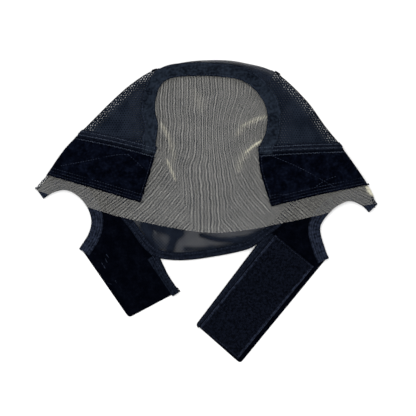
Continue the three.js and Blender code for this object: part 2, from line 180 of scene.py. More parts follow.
# %% Sizes of the pouch, the tapes and the straps
HALF_SPAN = 146.5 * MM
CROWN_RISE = 130.5 * MM
LOFT = 18 * MM
MOUTH_LOFT = 8 * MM
SHOULDER = 45 * MM
MOUTH_RUN = 60 * MM
VELVET_WALL = 1.8 * MM
TAPE_WALL = 1 * MM
NET_WALL = 1.2 * MM
GAP = 0.3 * MM
LAP = 4 * MM
JOIN = 2 * MM
BAND_WIDTH = 12 * MM
SEAM_WIDTH = 6.5 * MM
NET_HEM = 13 * MM
NET_TURN = 6 * MM
EAR_RADIUS = 25 * MM
EAR_TAPE = 10.5 * MM
EAR_PROUD = 1.5 * MM
CORNER = 3 * MM
HOOK_START = 14 * MM
HOOK_EDGE = 4 * MM
HOOK_END = 2 * MM
TAPE_LEVEL = VELVET_WALL + GAP
FRONT_LEVEL = TAPE_LEVEL + TAPE_WALL + GAP
OVERLAY = 1.5 * MM
TAPE_TOP = TAPE_LEVEL + TAPE_WALL
MARGIN = 12 * MM
FAR = 0.6

STRAPS = {
    "left": dict(length=73 * MM, width=48.5 * MM, flare=0, slant=5.6 * MM, turn=-55.3, trim=7 * MM),
    "right": dict(
        length=118.5 * MM, width=50.5 * MM, flare=4.5 * MM, slant=-1.7 * MM, turn=-129.4, trim=3.2 * MM
    ),
}

# %% Lines of the plan
FOLD = [
    (-0.999, 0.161), (-0.965, 0.2), (-0.929, 0.25), (-0.823, 0.42), (-0.706, 0.552), (-0.53, 0.749),
    (-0.412, 0.861), (-0.295, 0.938), (-0.119, 0.991), (0.08, 1.005), (0.234, 0.985), (0.41, 0.922),
    (0.586, 0.743), (0.703, 0.565), (0.821, 0.4), (0.953, 0.184), (1.005, 0.055),
]
HAIRLINE = [
    (-1, 0.15), (-0.92, 0.122), (-0.688, 0.037), (-0.498, -0.026), (-0.297, -0.076), (-0.1, -0.116),
    (0.06, -0.132), (0.25, -0.112), (0.43, -0.073), (0.62, -0.028), (0.85, 0.032), (1.01, 0.06),
]
WINDOW = [
    (-0.29, 0.38), (-0.283, 0.48), (-0.272, 0.567), (-0.289, 0.65), (-0.289, 0.73), (-0.26, 0.83),
    (-0.19, 0.883), (-0.03, 0.895), (0.1, 0.888), (0.21, 0.865), (0.29, 0.8), (0.345, 0.71),
    (0.361, 0.62), (0.35, 0.52), (0.322, 0.45), (0.31, 0.385),
]
BACK_SEAM = [
    (-0.742, 0.51), (-0.71, 0.38), (-0.63, 0.17), (-0.498, -0.03), (-0.437, -0.117), (-0.372, -0.218),
    (-0.3, -0.287), (-0.2, -0.312), (-0.08, -0.31), (0.08, -0.284), (0.202, -0.256), (0.275, -0.228),
    (0.369, -0.15), (0.468, -0.055), (0.615, 0.18), (0.73, 0.35), (0.782, 0.455),
]
SIDES = {
    "left": dict(
        out=-1,
        seam=[(-0.762, 0.505), (-0.53, 0.45), (-0.29, 0.38)],
        inner=[(-0.29, 0.38), (-0.317, 0.27), (-0.376, 0.066)],
        lower=[(-0.376, 0.066), (-0.65, 0.159), (-0.929, 0.249)],
        crown_seam=[(-0.25, 0.7), (-0.295, 0.938)],
        ear=(-0.841, -0.042),
        notch=[
            (48, 0.94), (72, 0.96), (97, 1.005), (123, 0.97),
            (151, 0.96), (182, 1.01), (209, 1.045), (240, 1.18),
        ],
    ),
    "right": dict(
        out=1,
        seam=[(0.805, 0.415), (0.55, 0.402), (0.31, 0.385)],
        inner=[(0.31, 0.385), (0.322, 0.26), (0.385, 0.04)],
        lower=[(0.385, 0.04), (0.65, 0.113), (0.953, 0.183)],
        crown_seam=[(0.3, 0.7), (0.41, 0.922)],
        ear=(0.85, -0.121),
        notch=[
            (45, 0.91), (66, 0.965), (89, 1.03), (110, 0.98),
            (135, 0.945), (173, 1.03), (215, 1.05), (232, 1.175),
        ],
    ),
}

# %% [markdown]
# ## Drawing on the plan
# A pattern cutter needs few tools: a smooth curve through marked points, a line drawn parallel to
# another, and a way to tell how far a point lies from a line. Each line here is an array of points,
# 1 mm apart or so, and each tool works on whole arrays at once, which keeps the notebook quick.

# %% Smooth, parallel and longer lines
STEP = 1 * MM


def evenly(line, step=STEP):
    run = np.concatenate([[0], np.cumsum(np.linalg.norm(np.diff(line, axis=0), axis=1))])
    stops = np.linspace(0, run[-1], max(2, round(run[-1] / step) + 1))
    return np.column_stack([np.interp(stops, run, line[:, k]) for k in range(line.shape[1])])


def through(points, step=STEP):
    points = np.asarray(points, float)
    held = np.vstack([points[:1], points, points[-1:]])
    t = np.linspace(0, 1, 24, endpoint=False)[:, None]
    legs = []
    for a, b, c, d in zip(held, held[1:], held[2:], held[3:]):
        leave, arrive = (c - a) / 2, (d - b) / 2
        cubic = (2 * b - 2 * c + leave + arrive) * t**3 + (3 * c - 3 * b - 2 * leave - arrive) * t**2
        legs.append(cubic + leave * t + b)
    return evenly(np.vstack([*legs, points[-1:]]), step)


def smooth(rows):
    return through(np.asarray(rows, float) * (HALF_SPAN, CROWN_RISE))


def beside(line, distance):
    along = np.gradient(line, axis=0)
    along /= np.linalg.norm(along, axis=1)[:, None]
    return line + np.asarray(distance)[..., None] * np.column_stack([-along[:, 1], along[:, 0]])


def longer(line, start=0.0, end=0.0):
    first = line[0] - line[1]
    last = line[-1] - line[-2]
    ends = [line[:1] + start * first / np.linalg.norm(first)] if start else []
    tail = [line[-1:] + end * last / np.linalg.norm(last)] if end else []
    return np.vstack([*ends, line, *tail])


def turned(degrees, reach=1.0):
    return reach * np.array([math.cos(math.radians(degrees)), math.sin(math.radians(degrees))])


fold_line = smooth(FOLD)
hairline = smooth(HAIRLINE)
window_line = smooth(WINDOW)
back_seam_line = smooth(BACK_SEAM)
print("fold:", len(fold_line), "points, nape seam:", len(back_seam_line), "points")

# %% Distances, sides and zones


def nearest(line, points):
    best = np.full(len(points), np.inf)
    foot = np.zeros((len(points), 2))
    side = np.ones(len(points))
    for start, leg in zip(line[:-1], np.diff(line, axis=0)):
        off = points - start
        share = np.clip(off @ leg / (leg @ leg), 0, 1)
        gap = off - share[:, None] * leg
        away = np.hypot(gap[:, 0], gap[:, 1])
        closer = away < best
        best[closer] = away[closer]
        foot[closer] = (points - gap)[closer]
        side[closer] = np.sign(leg[1] * off[closer, 0] - leg[0] * off[closer, 1] + 1e-15)
    return best, foot, side


def into_fold(points):
    away, foot, side = nearest(fold_line, points)
    return away * side, foot


def within(outline, points):
    x, y = points.T
    odd = np.zeros(len(points), bool)
    for (ax, ay), (bx, by) in zip(outline, np.roll(outline, -1, axis=0)):
        crosses = (ay > y) != (by > y)
        reach = (bx - ax) * (y - ay) / np.where(by == ay, 1, by - ay) + ax
        odd ^= crosses & (x < reach)
    return odd


def below(line):
    return np.vstack([line, [line[-1, 0], -FAR], [line[0, 0], -FAR]])


def above(line):
    return np.vstack([line, [FAR, FAR], [-FAR, FAR]])


# %% [markdown]
# ## The shape of the puffed front
# The back lies flat on the table and the front stands a little off it, because the elastic band at the
# crown and the lace keep some spring. The front's height is a smooth rule of the plan: nothing at the
# fold, full at the middle, lower again at the hairline, with a few soft ridges where the lace buckles.

# %% Heights of the front and the back
FRONT_RIDGES = [
    dict(start=(-0.262, 0.56), end=(-0.17, 0.23), height=0.13, width=0.3),
    dict(start=(0.345, 0.622), end=(0.2, 0.55), height=0.12, width=0.3),
    dict(start=(0.318, 0.455), end=(0.2, 0.33), height=0.14, width=0.3),
    dict(start=(-0.55, 0.72), end=(-0.42, 0.5), height=0.06, width=0.5),
]
BACK_RIDGES = [
    dict(start=(-0.3, -0.05), end=(-0.215, -0.23), height=0.13, width=0.3),
    dict(start=(-0.02, -0.12), end=(0.24, -0.19), height=0.12, width=0.3),
]


def ease(t):
    t = np.clip(t, 0, 1)
    return t * t * (3 - 2 * t)


def ridges(rows, points):
    total = np.zeros(len(points))
    for row in rows:
        line = np.array([row["start"], row["end"]]) * (HALF_SPAN, CROWN_RISE)
        away = nearest(line, points)[0] / (row["width"] * LOFT)
        total += row["height"] * LOFT * np.exp(-away * away)
    return total


def front_underside(points):
    away = into_fold(points)[0]
    inward = np.clip(away / SHOULDER, 0, 1)
    upward = ease((points[:, 1] - np.interp(points[:, 0], *hairline.T)) / MOUTH_RUN)
    loft = MOUTH_LOFT + (LOFT - MOUTH_LOFT) * upward
    return FRONT_LEVEL + loft * np.sin(inward * math.pi / 2) + inward * ridges(FRONT_RIDGES, points)


# %% [markdown]
# ## Folding a flat piece over the edge
# A piece that wraps the pouch is cut in one flat shape that runs past the fold line. The part beyond
# the line turns round the edge and lies underneath, as its mirror image. The turn is a small half
# round, so the cloth shows a soft edge and not a crease.

# %% Fold over
EDGE_ROUND = 2.6 * MM


def fold_over(points, level, wall, proud=0.0, lift=0.0):
    away, foot = into_fold(points)
    outward = np.where(away < 0, -away, 1)[:, None]
    inward_way = (foot - points) / outward
    depth = away + proud
    under = depth < 0
    plan = np.where(under[:, None], points - 2 * depth[:, None] * inward_way, points)
    top = front_underside(np.where(under[:, None], foot, points)) + level + wall + lift
    edge = FRONT_LEVEL + level + wall
    middle = edge / 2
    round_off = np.sqrt(1 - (1 - np.clip(np.abs(depth) / EDGE_ROUND, 0, 1)) ** 2)
    height = np.where(under, middle - middle * round_off, middle + (top - middle) * round_off)
    return np.column_stack([plan, height])


# %% [markdown]
# ## Cutting cloth
# Blender can triangulate a plane while it keeps given lines as edges: that is a constrained Delaunay
# triangulation. It works as scissors here. Every cutting line goes in together with an even scatter of
# points for smoothness, and then the triangles that lie inside the wanted shape are kept.

# %% Scissors
def cut(lines, keep, cell, low, high):
    columns = np.arange(low[0], high[0], cell)
    rows = np.arange(low[1], high[1], cell * math.sqrt(3) / 2)
    across, up = np.meshgrid(columns, rows)
    across[1::2] += cell / 2
    scatter = np.column_stack([across.ravel(), up.ravel()])
    for line in lines:
        scatter = scatter[nearest(line, scatter)[0] > 0.45 * cell]
    corners, edges = [], []
    for line in lines:
        first = len(corners)
        corners.extend(line / MM)
        edges.extend((first + k, first + k + 1) for k in range(len(line) - 1))
    corners.extend(scatter / MM)
    made = delaunay_2d_cdt([Vector(corner) for corner in corners], edges, [], 0, 1e-4, False)
    points = np.array([tuple(corner) for corner in made[0]]) * MM
    faces = np.array(made[2])
    middles = points[faces].mean(axis=1)
    a, b, c = (points[faces[:, k]] for k in range(3))
    area = ((b - a)[:, 0] * (c - a)[:, 1] - (b - a)[:, 1] * (c - a)[:, 0]) / 2
    faces[area < 0] = faces[area < 0][:, ::-1]
    faces = faces[keep(middles) & (np.abs(area) > 1e-12)]
    used, packed = np.unique(faces, return_inverse=True)
    return points[used], packed.reshape(-1, 3)


def flat_area(points, faces):
    a, b, c = (points[faces[:, k]] for k in range(3))
    return float(np.abs((b - a)[:, 0] * (c - a)[:, 1] - (b - a)[:, 1] * (c - a)[:, 0]).sum() / 2)


# %% [markdown]
# ## From a cut to a piece
# The plan is drawn about its own middle, while the solid model stands about the middle of its box. The
# hook tape is the same in both, so the step between the two comes from it. Each piece keeps the flat
# cut as its UV map, in centimetres, so a rib or a thread follows the cloth wherever it goes.

# %% Place, thickness, slot and the sizes of a cut
def ear_line(side):
    turns = [turned(t if side["out"] > 0 else 180 - t, r * EAR_RADIUS) for t, r in side["notch"]]
    line = through(np.array(turns) + np.array(side["ear"]) * (HALF_SPAN, CROWN_RISE))
    return line[::-1] if side["out"] > 0 else line


def strap_frame(name):
    strap, side = STRAPS[name], SIDES[name]
    edge = ear_line(side)
    along, inward = turned(strap["turn"]), turned(strap["turn"] - 90 * side["out"])
    root = (edge[0] if side["out"] > 0 else edge[-1]) + inward * EAR_PROUD
    return lambda far, across: root + np.multiply.outer(far, along) + np.multiply.outer(across, inward)


def hook_corners():
    at, strap = strap_frame("right"), STRAPS["right"]
    end, inner = strap["length"] - HOOK_END, strap["width"] - strap["trim"] - GAP
    return np.array([at(HOOK_START, HOOK_EDGE), at(end, HOOK_EDGE), at(end, inner), at(HOOK_START, inner)])


own = hook_corners()
solid_low, solid_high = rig.box("hook_patch")
SHIFT = np.array((solid_low + solid_high) / 2)[:2] - (own.min(axis=0) + own.max(axis=0)) / 2
print("plan to model:", (SHIFT / MM).round(3), "mm")


def in_model(places):
    return places + np.array([*SHIFT, 0])


CUT_SCALE = 100
LEAST_FILL = 0.31


def cut_sizes(points, faces, cloth_area=None):
    size = points.max(axis=0) - points.min(axis=0)
    area = flat_area(points, faces) if cloth_area is None else cloth_area
    return dict(flat=tuple(size), area=max(LEAST_FILL * size.prod(), area))


def cloth(name, places, faces, pattern, finish, wall, marks=None):
    mesh = bpy.data.meshes.new(name)
    mesh.from_pydata(in_model(places).tolist(), [], np.asarray(faces).tolist())
    corners = np.empty(len(mesh.loops), int)
    mesh.loops.foreach_get("vertex_index", corners)
    layer = mesh.uv_layers.new(name="cut")
    layer.data.foreach_set("uv", (pattern * CUT_SCALE)[corners].ravel())
    for key, values in (marks or {}).items():
        mesh.attributes.new(key, "FLOAT", "POINT").data.foreach_set("value", np.asarray(values, float))
    mesh.polygons.foreach_set("use_smooth", np.ones(len(mesh.polygons), bool))
    mesh.materials.append(finish)
    piece = bpy.data.objects.new(name, mesh)
    bpy.context.collection.objects.link(piece)
    if wall:
        thickness = piece.modifiers.new("cloth", "SOLIDIFY")
        thickness.thickness = wall
        thickness.offset = -1
    return piece


def belongs(piece, node, slot_name):
    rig.ride(piece, "root")
    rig.replaces(piece, node)
    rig.slot(piece, slot_name)
    print(f"{piece.name}: {len(piece.data.polygons)} faces for {node}")


def grid_faces(rows, columns):
    first = (np.arange(rows - 1)[:, None] * columns + np.arange(columns - 1)).ravel()
    return np.column_stack([first, first + 1, first + 1 + columns, first + columns])


# %% [markdown]
# ## Finishes
# A material is a small program of nodes. To keep the programs readable, a number that varies over the
# cloth is wrapped in a class, so that plain arithmetic on it adds the right Math nodes. Everything that
# varies feeds the colour, the alpha, the roughness or the bump, and what is the same all over the cloth
# is set on the shader itself.

# %% A number that varies over the cloth
class Number:
    def __init__(self, finish, socket):
        self.finish, self.socket = finish, socket

    def math(self, operation, *values, clamp=False):
        sockets = dict(enumerate(values))
        node = self.finish.node("ShaderNodeMath", dict(operation=operation, use_clamp=clamp), sockets)
        return Number(self.finish, node.outputs[0])

    def __add__(self, other):
        return self.math("ADD", self, other)

    def __sub__(self, other):
        return self.math("SUBTRACT", self, other)

    def __rsub__(self, other):
        return self.math("SUBTRACT", other, self)

    def __mul__(self, other):
        return self.math("MULTIPLY", self, other)

    def __truediv__(self, other):
        return self.math("DIVIDE", self, other)

    __radd__, __rmul__ = __add__, __mul__

    def sine(self):
        return self.math("SINE", self)

    def smallest(self, other):
        return self.math("MINIMUM", self, other)

    def absolute(self):
        return self.math("ABSOLUTE", self)

    def clamped(self):
        return self.math("ADD", self, 0.0, clamp=True)

    def rising(self, low, high):
        settings = dict(interpolation_type="SMOOTHSTEP")
        node = self.finish.node("ShaderNodeMapRange", settings, {0: self, 1: low, 2: high})
        return Number(self.finish, node.outputs[0])


# %% A material and its nodes
class Finish:
    def __init__(self, name, **constants):
        self.material = bpy.data.materials.new(name)
        self.material.use_nodes = True
        self.tree = self.material.node_tree
        self.shader = self.tree.nodes["Principled BSDF"]
        for key, value in constants.items():
            self.shader.inputs[key.replace("_", " ")].default_value = value

    def node(self, kind, settings=None, sockets=None):
        made = self.tree.nodes.new(kind)
        for key, value in (settings or {}).items():
            setattr(made, key, value)
        for key, value in (sockets or {}).items():
            self.feed(made.inputs[key], value)
        return made

    def feed(self, socket, value):
        value = value.socket if isinstance(value, Number) else value
        if isinstance(value, bpy.types.NodeSocket):
            self.tree.links.new(value, socket)
        else:
            socket.default_value = value

    def here(self, stretch=(1, 1, 1)):
        spot = self.node("ShaderNodeTexCoord").outputs["Object"]
        return self.node("ShaderNodeMapping", {}, {"Vector": spot, "Scale": stretch}).outputs[0]

    def cut_at(self):
        place = self.node("ShaderNodeUVMap", dict(uv_map="cut")).outputs[0]
        split = self.node("ShaderNodeSeparateXYZ", {}, {0: place})
        return Number(self, split.outputs[0]), Number(self, split.outputs[1])

    def mark(self, name):
        return Number(self, self.node("ShaderNodeAttribute", dict(attribute_name=name)).outputs["Fac"])

    def noise(self, size, detail=2.0, stretch=(1, 1, 1)):
        sockets = {"Vector": self.here(stretch), "Scale": 1 / size, "Detail": detail}
        return Number(self, self.node("ShaderNodeTexNoise", {}, sockets).outputs[0])

    def blend(self, share, first, second):
        ends = [(*end, 1) if isinstance(end, tuple) else end for end in (first, second)]
        sockets = {0: share, 6: ends[0], 7: ends[1]}
        return self.node("ShaderNodeMix", dict(data_type="RGBA"), sockets).outputs[2]

    def wear(self, colour=None, alpha=None, roughness=None, relief=None, depth=0.1 * MM):
        for key, value in {"Base Color": colour, "Alpha": alpha, "Roughness": roughness}.items():
            if value is not None:
                self.feed(self.shader.inputs[key], value)
        if relief is not None:
            bump = self.node("ShaderNodeBump", {}, {"Height": relief, "Distance": depth, "Strength": 1.0})
            self.feed(self.shader.inputs["Normal"], bump.outputs[0])
        return self.material


LIGHT_LEVEL = 1.5


def seen_as(red, green, blue, level=LIGHT_LEVEL):
    shares = [c / 255 for c in (red, green, blue)]
    return tuple((((c + 0.055) / 1.055) ** 2.4 if c > 0.04 else c / 12.92) / level for c in shares)


# %% [markdown]
# ### Dark cloths
# Nearly everything but the lace is blue-black. Under even light such cloth is told apart by small
# things: velvet swallows light and looks crushed in soft patches, a knitted tape shows its ribs, and a
# net shows its threads. Each finish below starts from that one small thing. A colour is given as it is
# seen in the light of this scene, and divided by the light's level to get the cloth's own colour.

# %% Velvet, knit, tape, net and thread
def velvet_finish(name, light):
    finish = Finish(name, Specular_IOR_Level=0.004)
    crushed = finish.noise(7 * MM, 3.0).rising(0.35, 0.7)
    pile = finish.noise(2.2 * MM, 3.0).rising(0.4, 0.72)
    tone = (crushed * 0.35 + crushed * pile * 0.4 + pile * 0.25).clamped()
    colour = finish.blend(tone, seen_as(1, 2, 7), light)
    return finish.wear(colour, roughness=pile * 0.1 + 0.85, relief=pile + crushed, depth=0.25 * MM)


def tape_finish(name, dark, light, rib=2.1 * MM, knot=2.6 * MM):
    finish = Finish(name, Specular_IOR_Level=0.01)
    along, across = finish.cut_at()
    ribs = (across * (2 * math.pi / (rib * CUT_SCALE))).sine() * 0.5 + 0.5
    knots = (along * (2 * math.pi / (knot * CUT_SCALE))).sine() * 0.5 + 0.5
    grain = finish.noise(2 * MM, 3.0).rising(0.32, 0.68)
    edge = across.absolute().rising(0.0, 1.1 * MM * CUT_SCALE)
    tone = ((ribs * 0.2 + ribs * knots * 0.3 + grain * 0.5) * (edge * 0.75 + 0.25)).clamped()
    colour = finish.blend(tone, dark, light)
    return finish.wear(colour, roughness=0.85, relief=ribs + knots * 0.4, depth=0.2 * MM)


def knit_finish():
    finish = Finish("band_knit", Specular_IOR_Level=0.01)
    along, across = finish.cut_at()
    wales = (along * (2 * math.pi / (1.2 * MM * CUT_SCALE))).sine()
    courses = (across * (2 * math.pi / (1.2 * MM * CUT_SCALE))).sine()
    loops = (wales * courses) * 0.5 + 0.5
    grain = finish.noise(2.3 * MM, 3.0).rising(0.34, 0.66)
    cloud = finish.noise(11 * MM, 2.0).rising(0.3, 0.7)
    tone = (loops * 0.15 + grain * 0.5 + cloud * 0.35).clamped()
    colour = finish.blend(tone, seen_as(1, 3, 9), seen_as(38, 46, 58))
    return finish.wear(colour, roughness=0.85, relief=loops + grain, depth=0.15 * MM)


def net_finish():
    finish = Finish("net_thread", Specular_IOR_Level=0.01)
    twist = finish.noise(0.8 * MM, 2.0).rising(0.3, 0.7)
    tone = finish.noise(14 * MM, 2.0).rising(0.3, 0.7) * 0.6 + twist * 0.4
    colour = finish.blend(tone.clamped(), seen_as(14, 20, 31), seen_as(35, 42, 54))
    return finish.wear(colour, roughness=0.8, relief=twist, depth=0.1 * MM)


def thread_finish(name, dark, light):
    finish = Finish(name, Specular_IOR_Level=0.03)
    tone = finish.noise(3 * MM, 1.0).rising(0.3, 0.7)
    return finish.wear(finish.blend(tone, dark, light), roughness=0.6)


def hook_finish(name, dark, light):
    finish = Finish(name, Specular_IOR_Level=0.015)
    grain = finish.noise(1.8 * MM, 3.0).rising(0.33, 0.67)
    return finish.wear(finish.blend(grain, dark, light), roughness=0.7, relief=grain, depth=0.2 * MM)


VELVET = velvet_finish("velvet", seen_as(14, 19, 33))
STRAP_VELVET = velvet_finish("strap_velvet", seen_as(8, 11, 20))
BAND = knit_finish()
TAPE = tape_finish("ribbed_tape", seen_as(4, 7, 15), seen_as(46, 53, 70))
STRIP = tape_finish("dark_tape", seen_as(3, 5, 12), seen_as(28, 34, 47))
NET = net_finish()
THREAD = thread_finish("sewing_thread", seen_as(24, 29, 42), seen_as(52, 59, 76))
THREAD_DARK = thread_finish("overlock_thread", seen_as(4, 6, 12), seen_as(15, 18, 27))
THREAD_PALE = thread_finish("zigzag_thread", seen_as(36, 43, 56), seen_as(70, 78, 92))
HOOK = hook_finish("hooks", seen_as(3, 5, 12), seen_as(20, 25, 38))
SELVAGE = hook_finish("hook_selvage", seen_as(9, 12, 22), seen_as(40, 47, 63))

# %% [markdown]
# ### See-through cloths
# A sheer cloth is mostly holes. From a step away the eye sees one even veil, so its finish is a share of
# cover, the alpha, with a slight weave in it. Two layers of it then darken by themselves, as they do
# on the real cap.

# %% Sheer mesh
def sheer_finish():
    finish = Finish("sheer_mesh", Specular_IOR_Level=0.04)
    spot = finish.here()
    split = finish.node("ShaderNodeSeparateXYZ", {}, {0: spot})
    x, y = Number(finish, split.outputs[0]), Number(finish, split.outputs[1])
    turn = 2 * math.pi / (2.7 * MM)
    weave = ((x * turn).sine() * (y * turn).sine()) * 0.5 + 0.5
    cloud = finish.noise(16 * MM, 3.0).rising(0.3, 0.7)
    # The mark read here adds cover: at the pleats partly for doubled cloth and partly as painted shade, under the side
    # nets as painted shade, and it is lowered along creases as painted highlights.
    pleat = finish.mark("pleat")
    alpha = (weave * 0.08 + cloud * 0.06 + 0.72 + pleat * 0.3).clamped().smallest(0.985)
    colour = finish.blend(cloud, seen_as(14, 20, 32), seen_as(26, 33, 46))
    return finish.wear(colour, alpha=alpha, roughness=0.8, relief=weave, depth=0.1 * MM)


SHEER = sheer_finish()

# %% [markdown]
# ## The lace front
# The lace is the one piece everybody looks at. It is one pale sheet from the crown to the hairline, with
# wings that run out to the ears, and its fine lines hang like combed hair: straight from the crown, then
# swept out towards the temples, with a few buckles where the cloth is pinched. A buckle shows paler: where
# the lace doubles it covers more, and on top of that a painted sheen lightens its colour. Each line is where a
# number stored on the points of the cloth comes round to a whole one, so bending that number bends the
# lines. There are three such numbers, for the middle and the two sweeps, since the buckles part them.

# %% Where things are in the photograph
PHOTO_MIDDLE = (205.2, 212.7)
PHOTO_PIXEL = 0.86 * MM


def seen_at(pixels):
    return (np.asarray(pixels, float) - PHOTO_MIDDLE) * (PHOTO_PIXEL, -PHOTO_PIXEL)


def in_photo(points):
    return points / (PHOTO_PIXEL, -PHOTO_PIXEL) + PHOTO_MIDDLE


# %% The lace's lines
LINE_PITCH = 2.6
LACE_MIDDLE = 206
FAN = dict(start=165, run=75, more=0.3)
PINCH = dict(shift=17, start=88, rise=44, top=134, fall=50, drop=1.0, side=190, spread=72)
BEND = dict(shift=5, start=146, rise=28, top=176, fall=26, drop=0.6, side=186, spread=17)
WING = dict(start=60, run=60)
CRISP = dict(middle=(212, 132), wide=30, tall=26, more=0.7)
LEFT_SWEEP = dict(
    middle=(-23, 35),
    edge=[(140, 159), (165, 165), (180, 175), (200, 184), (230, 195)],
    down_from=135,
)
RIGHT_SWEEP = dict(
    middle=(440, 48),
    edge=[(140, 258), (158, 252), (170, 247), (190, 233), (230, 220)],
    down_from=145,
)
SWEEP_BLEND = 10
SWEEP_RISE = 14


def swell(row, y):
    drop = 1 - row["drop"] * ease((y - row["top"]) / row["fall"])
    return row["shift"] * ease((y - row["start"]) / row["rise"]) * drop


def comb(points):
    x, y = in_photo(points).T
    fan = 1 + FAN["more"] * ease((y - FAN["start"]) / FAN["run"])
    pinch = swell(PINCH, y) * ease((x - PINCH["side"]) / PINCH["spread"])
    bend = swell(BEND, y) * np.exp(-(((x - BEND["side"]) / BEND["spread"]) ** 2))
    centre = (x - LACE_MIDDLE + pinch + bend) / fan
    left = np.hypot(x - LEFT_SWEEP["middle"][0], y - LEFT_SWEEP["middle"][1])
    right = np.hypot(x - RIGHT_SWEEP["middle"][0], y - RIGHT_SWEEP["middle"][1])
    rows, places = np.array(LEFT_SWEEP["edge"]).T
    to_left = ease((np.interp(y, rows, places) - x + SWEEP_BLEND / 2) / SWEEP_BLEND)
    to_left = to_left * ease((y - LEFT_SWEEP["down_from"]) / SWEEP_RISE)
    rows, places = np.array(RIGHT_SWEEP["edge"]).T
    to_right = ease((x - np.interp(y, rows, places) + SWEEP_BLEND / 2) / SWEEP_BLEND)
    to_right = to_right * ease((y - RIGHT_SWEEP["down_from"]) / SWEEP_RISE)
    wing = ease((np.abs(x - LACE_MIDDLE) - WING["start"]) / WING["run"])
    off_x, off_y = (x - CRISP["middle"][0]) / CRISP["wide"], (y - CRISP["middle"][1]) / CRISP["tall"]
    wing = wing - CRISP["more"] * np.exp(-(off_x**2) - off_y**2)
    marks = {"centre": centre / LINE_PITCH, "left": left / LINE_PITCH, "right": right / LINE_PITCH}
    return {**marks, "to_left": to_left, "to_right": to_right, "wing": wing}


def lace_finish():
    finish = Finish("lace", Specular_IOR_Level=0.05)
    sway = finish.noise(6 * MM, 2.0, (0.4, 1, 1)) * 0.9 + finish.noise(24 * MM, 1.0, (0.5, 1, 1)) * 1.6
    sets = {}
    for key in ("centre", "left", "right"):
        turn = (finish.mark(key) + sway) * (2 * math.pi)
        sets[key] = turn.sine() * 0.85 + (turn * 0.62).sine() * 0.35
    to_left, to_right = finish.mark("to_left"), finish.mark("to_right")
    lines = sets["centre"] + (sets["left"] - sets["centre"]) * to_left
    patchy = finish.noise(10 * MM, 1.0).rising(0.25, 0.6) * 0.35 + 0.75
    lines = (lines + (sets["right"] - lines) * to_right) * patchy
    lines = lines * (1 - finish.mark("wing") * 0.55) * 0.5 + 0.5
    specks = finish.noise(1.2 * MM, 2.0).rising(0.3, 0.75)
    clouds = finish.noise(13 * MM, 2.0).rising(0.3, 0.7)
    buckle = finish.mark("buckle").clamped()
    # Along a buckle the lace doubles, which adds cover, and a painted sheen gives it the pale colour below.
    doubled_and_sheen = (buckle * (specks * 0.3 + clouds * 0.3 + 0.6)).clamped()
    cover = (lines * 0.4 + specks * 0.09 + clouds * 0.08 + 0.09 + doubled_and_sheen * 0.5).clamped()
    tone = (lines * 0.7 + specks * 0.3).clamped()
    plain = finish.blend(tone, seen_as(112, 112, 110), seen_as(168, 167, 162))
    split = finish.blend(doubled_and_sheen, plain, seen_as(206, 202, 180))
    return finish.wear(split, alpha=cover, roughness=0.75, relief=lines, depth=0.15 * MM)


LACE = lace_finish()

# %% Cut and lay the lace
LACE_CELL = 1.3 * MM
LACE_LIFT = 0.8 * MM
LACE_DROP = 0.9 * MM
BUCKLES = [
    dict(path=[(161, 124), (166, 132), (171, 143)], wide=2.2, strong=0.5),
    dict(path=[(169, 140), (173, 150), (175, 160)], wide=2.6, strong=0.3),
    dict(path=[(167.5, 160), (170.6, 168), (176, 181)], wide=1.6, strong=0.62),
    dict(path=[(172, 141), (173.5, 155), (171, 166)], wide=3.4, strong=0.2),
    dict(path=[(266, 117.5), (254.8, 121), (240, 128)], wide=2.0, strong=0.5),
    dict(path=[(258, 121), (246, 126), (236, 136)], wide=3.4, strong=0.28),
    dict(path=[(261, 141.5), (252, 147.5), (245, 153.5)], wide=1.3, strong=1.0),
    dict(path=[(249, 150), (241, 160), (238, 172)], wide=3.4, strong=0.3),
    dict(path=[(194, 92), (200, 104), (201, 112)], wide=4.2, strong=0.14),
    dict(path=[(366, 187), (370, 191), (373, 196)], wide=2.4, strong=1.6),
]


def window_edge(wider):
    left, right = (smooth(SIDES[name]["inner"]) for name in ("left", "right"))
    return beside(np.vstack([left[::-1][:-1], window_line, right[1:]]), wider)


def hair_band_edge():
    left, right = (smooth(SIDES[name]["lower"]) for name in ("left", "right"))
    return evenly(beside(longer(np.vstack([left[::-1], right]), MARGIN, MARGIN), LAP))


def velvet_outline(side, wider):
    seam = beside(smooth(side["seam"]), -side["out"] * wider)
    inner, lower = smooth(side["inner"]), smooth(side["lower"])
    away = np.array([[side["out"] * MARGIN, 0]])
    return np.vstack([seam[:1] + away, seam, inner[1:], lower[1:], lower[-1:] + away])


def ear_hole(side):
    mouth = np.array(side["ear"]) * (HALF_SPAN, CROWN_RISE) + turned(-35 if side["out"] > 0 else 215, FAR)
    return np.vstack([ear_line(side), mouth])


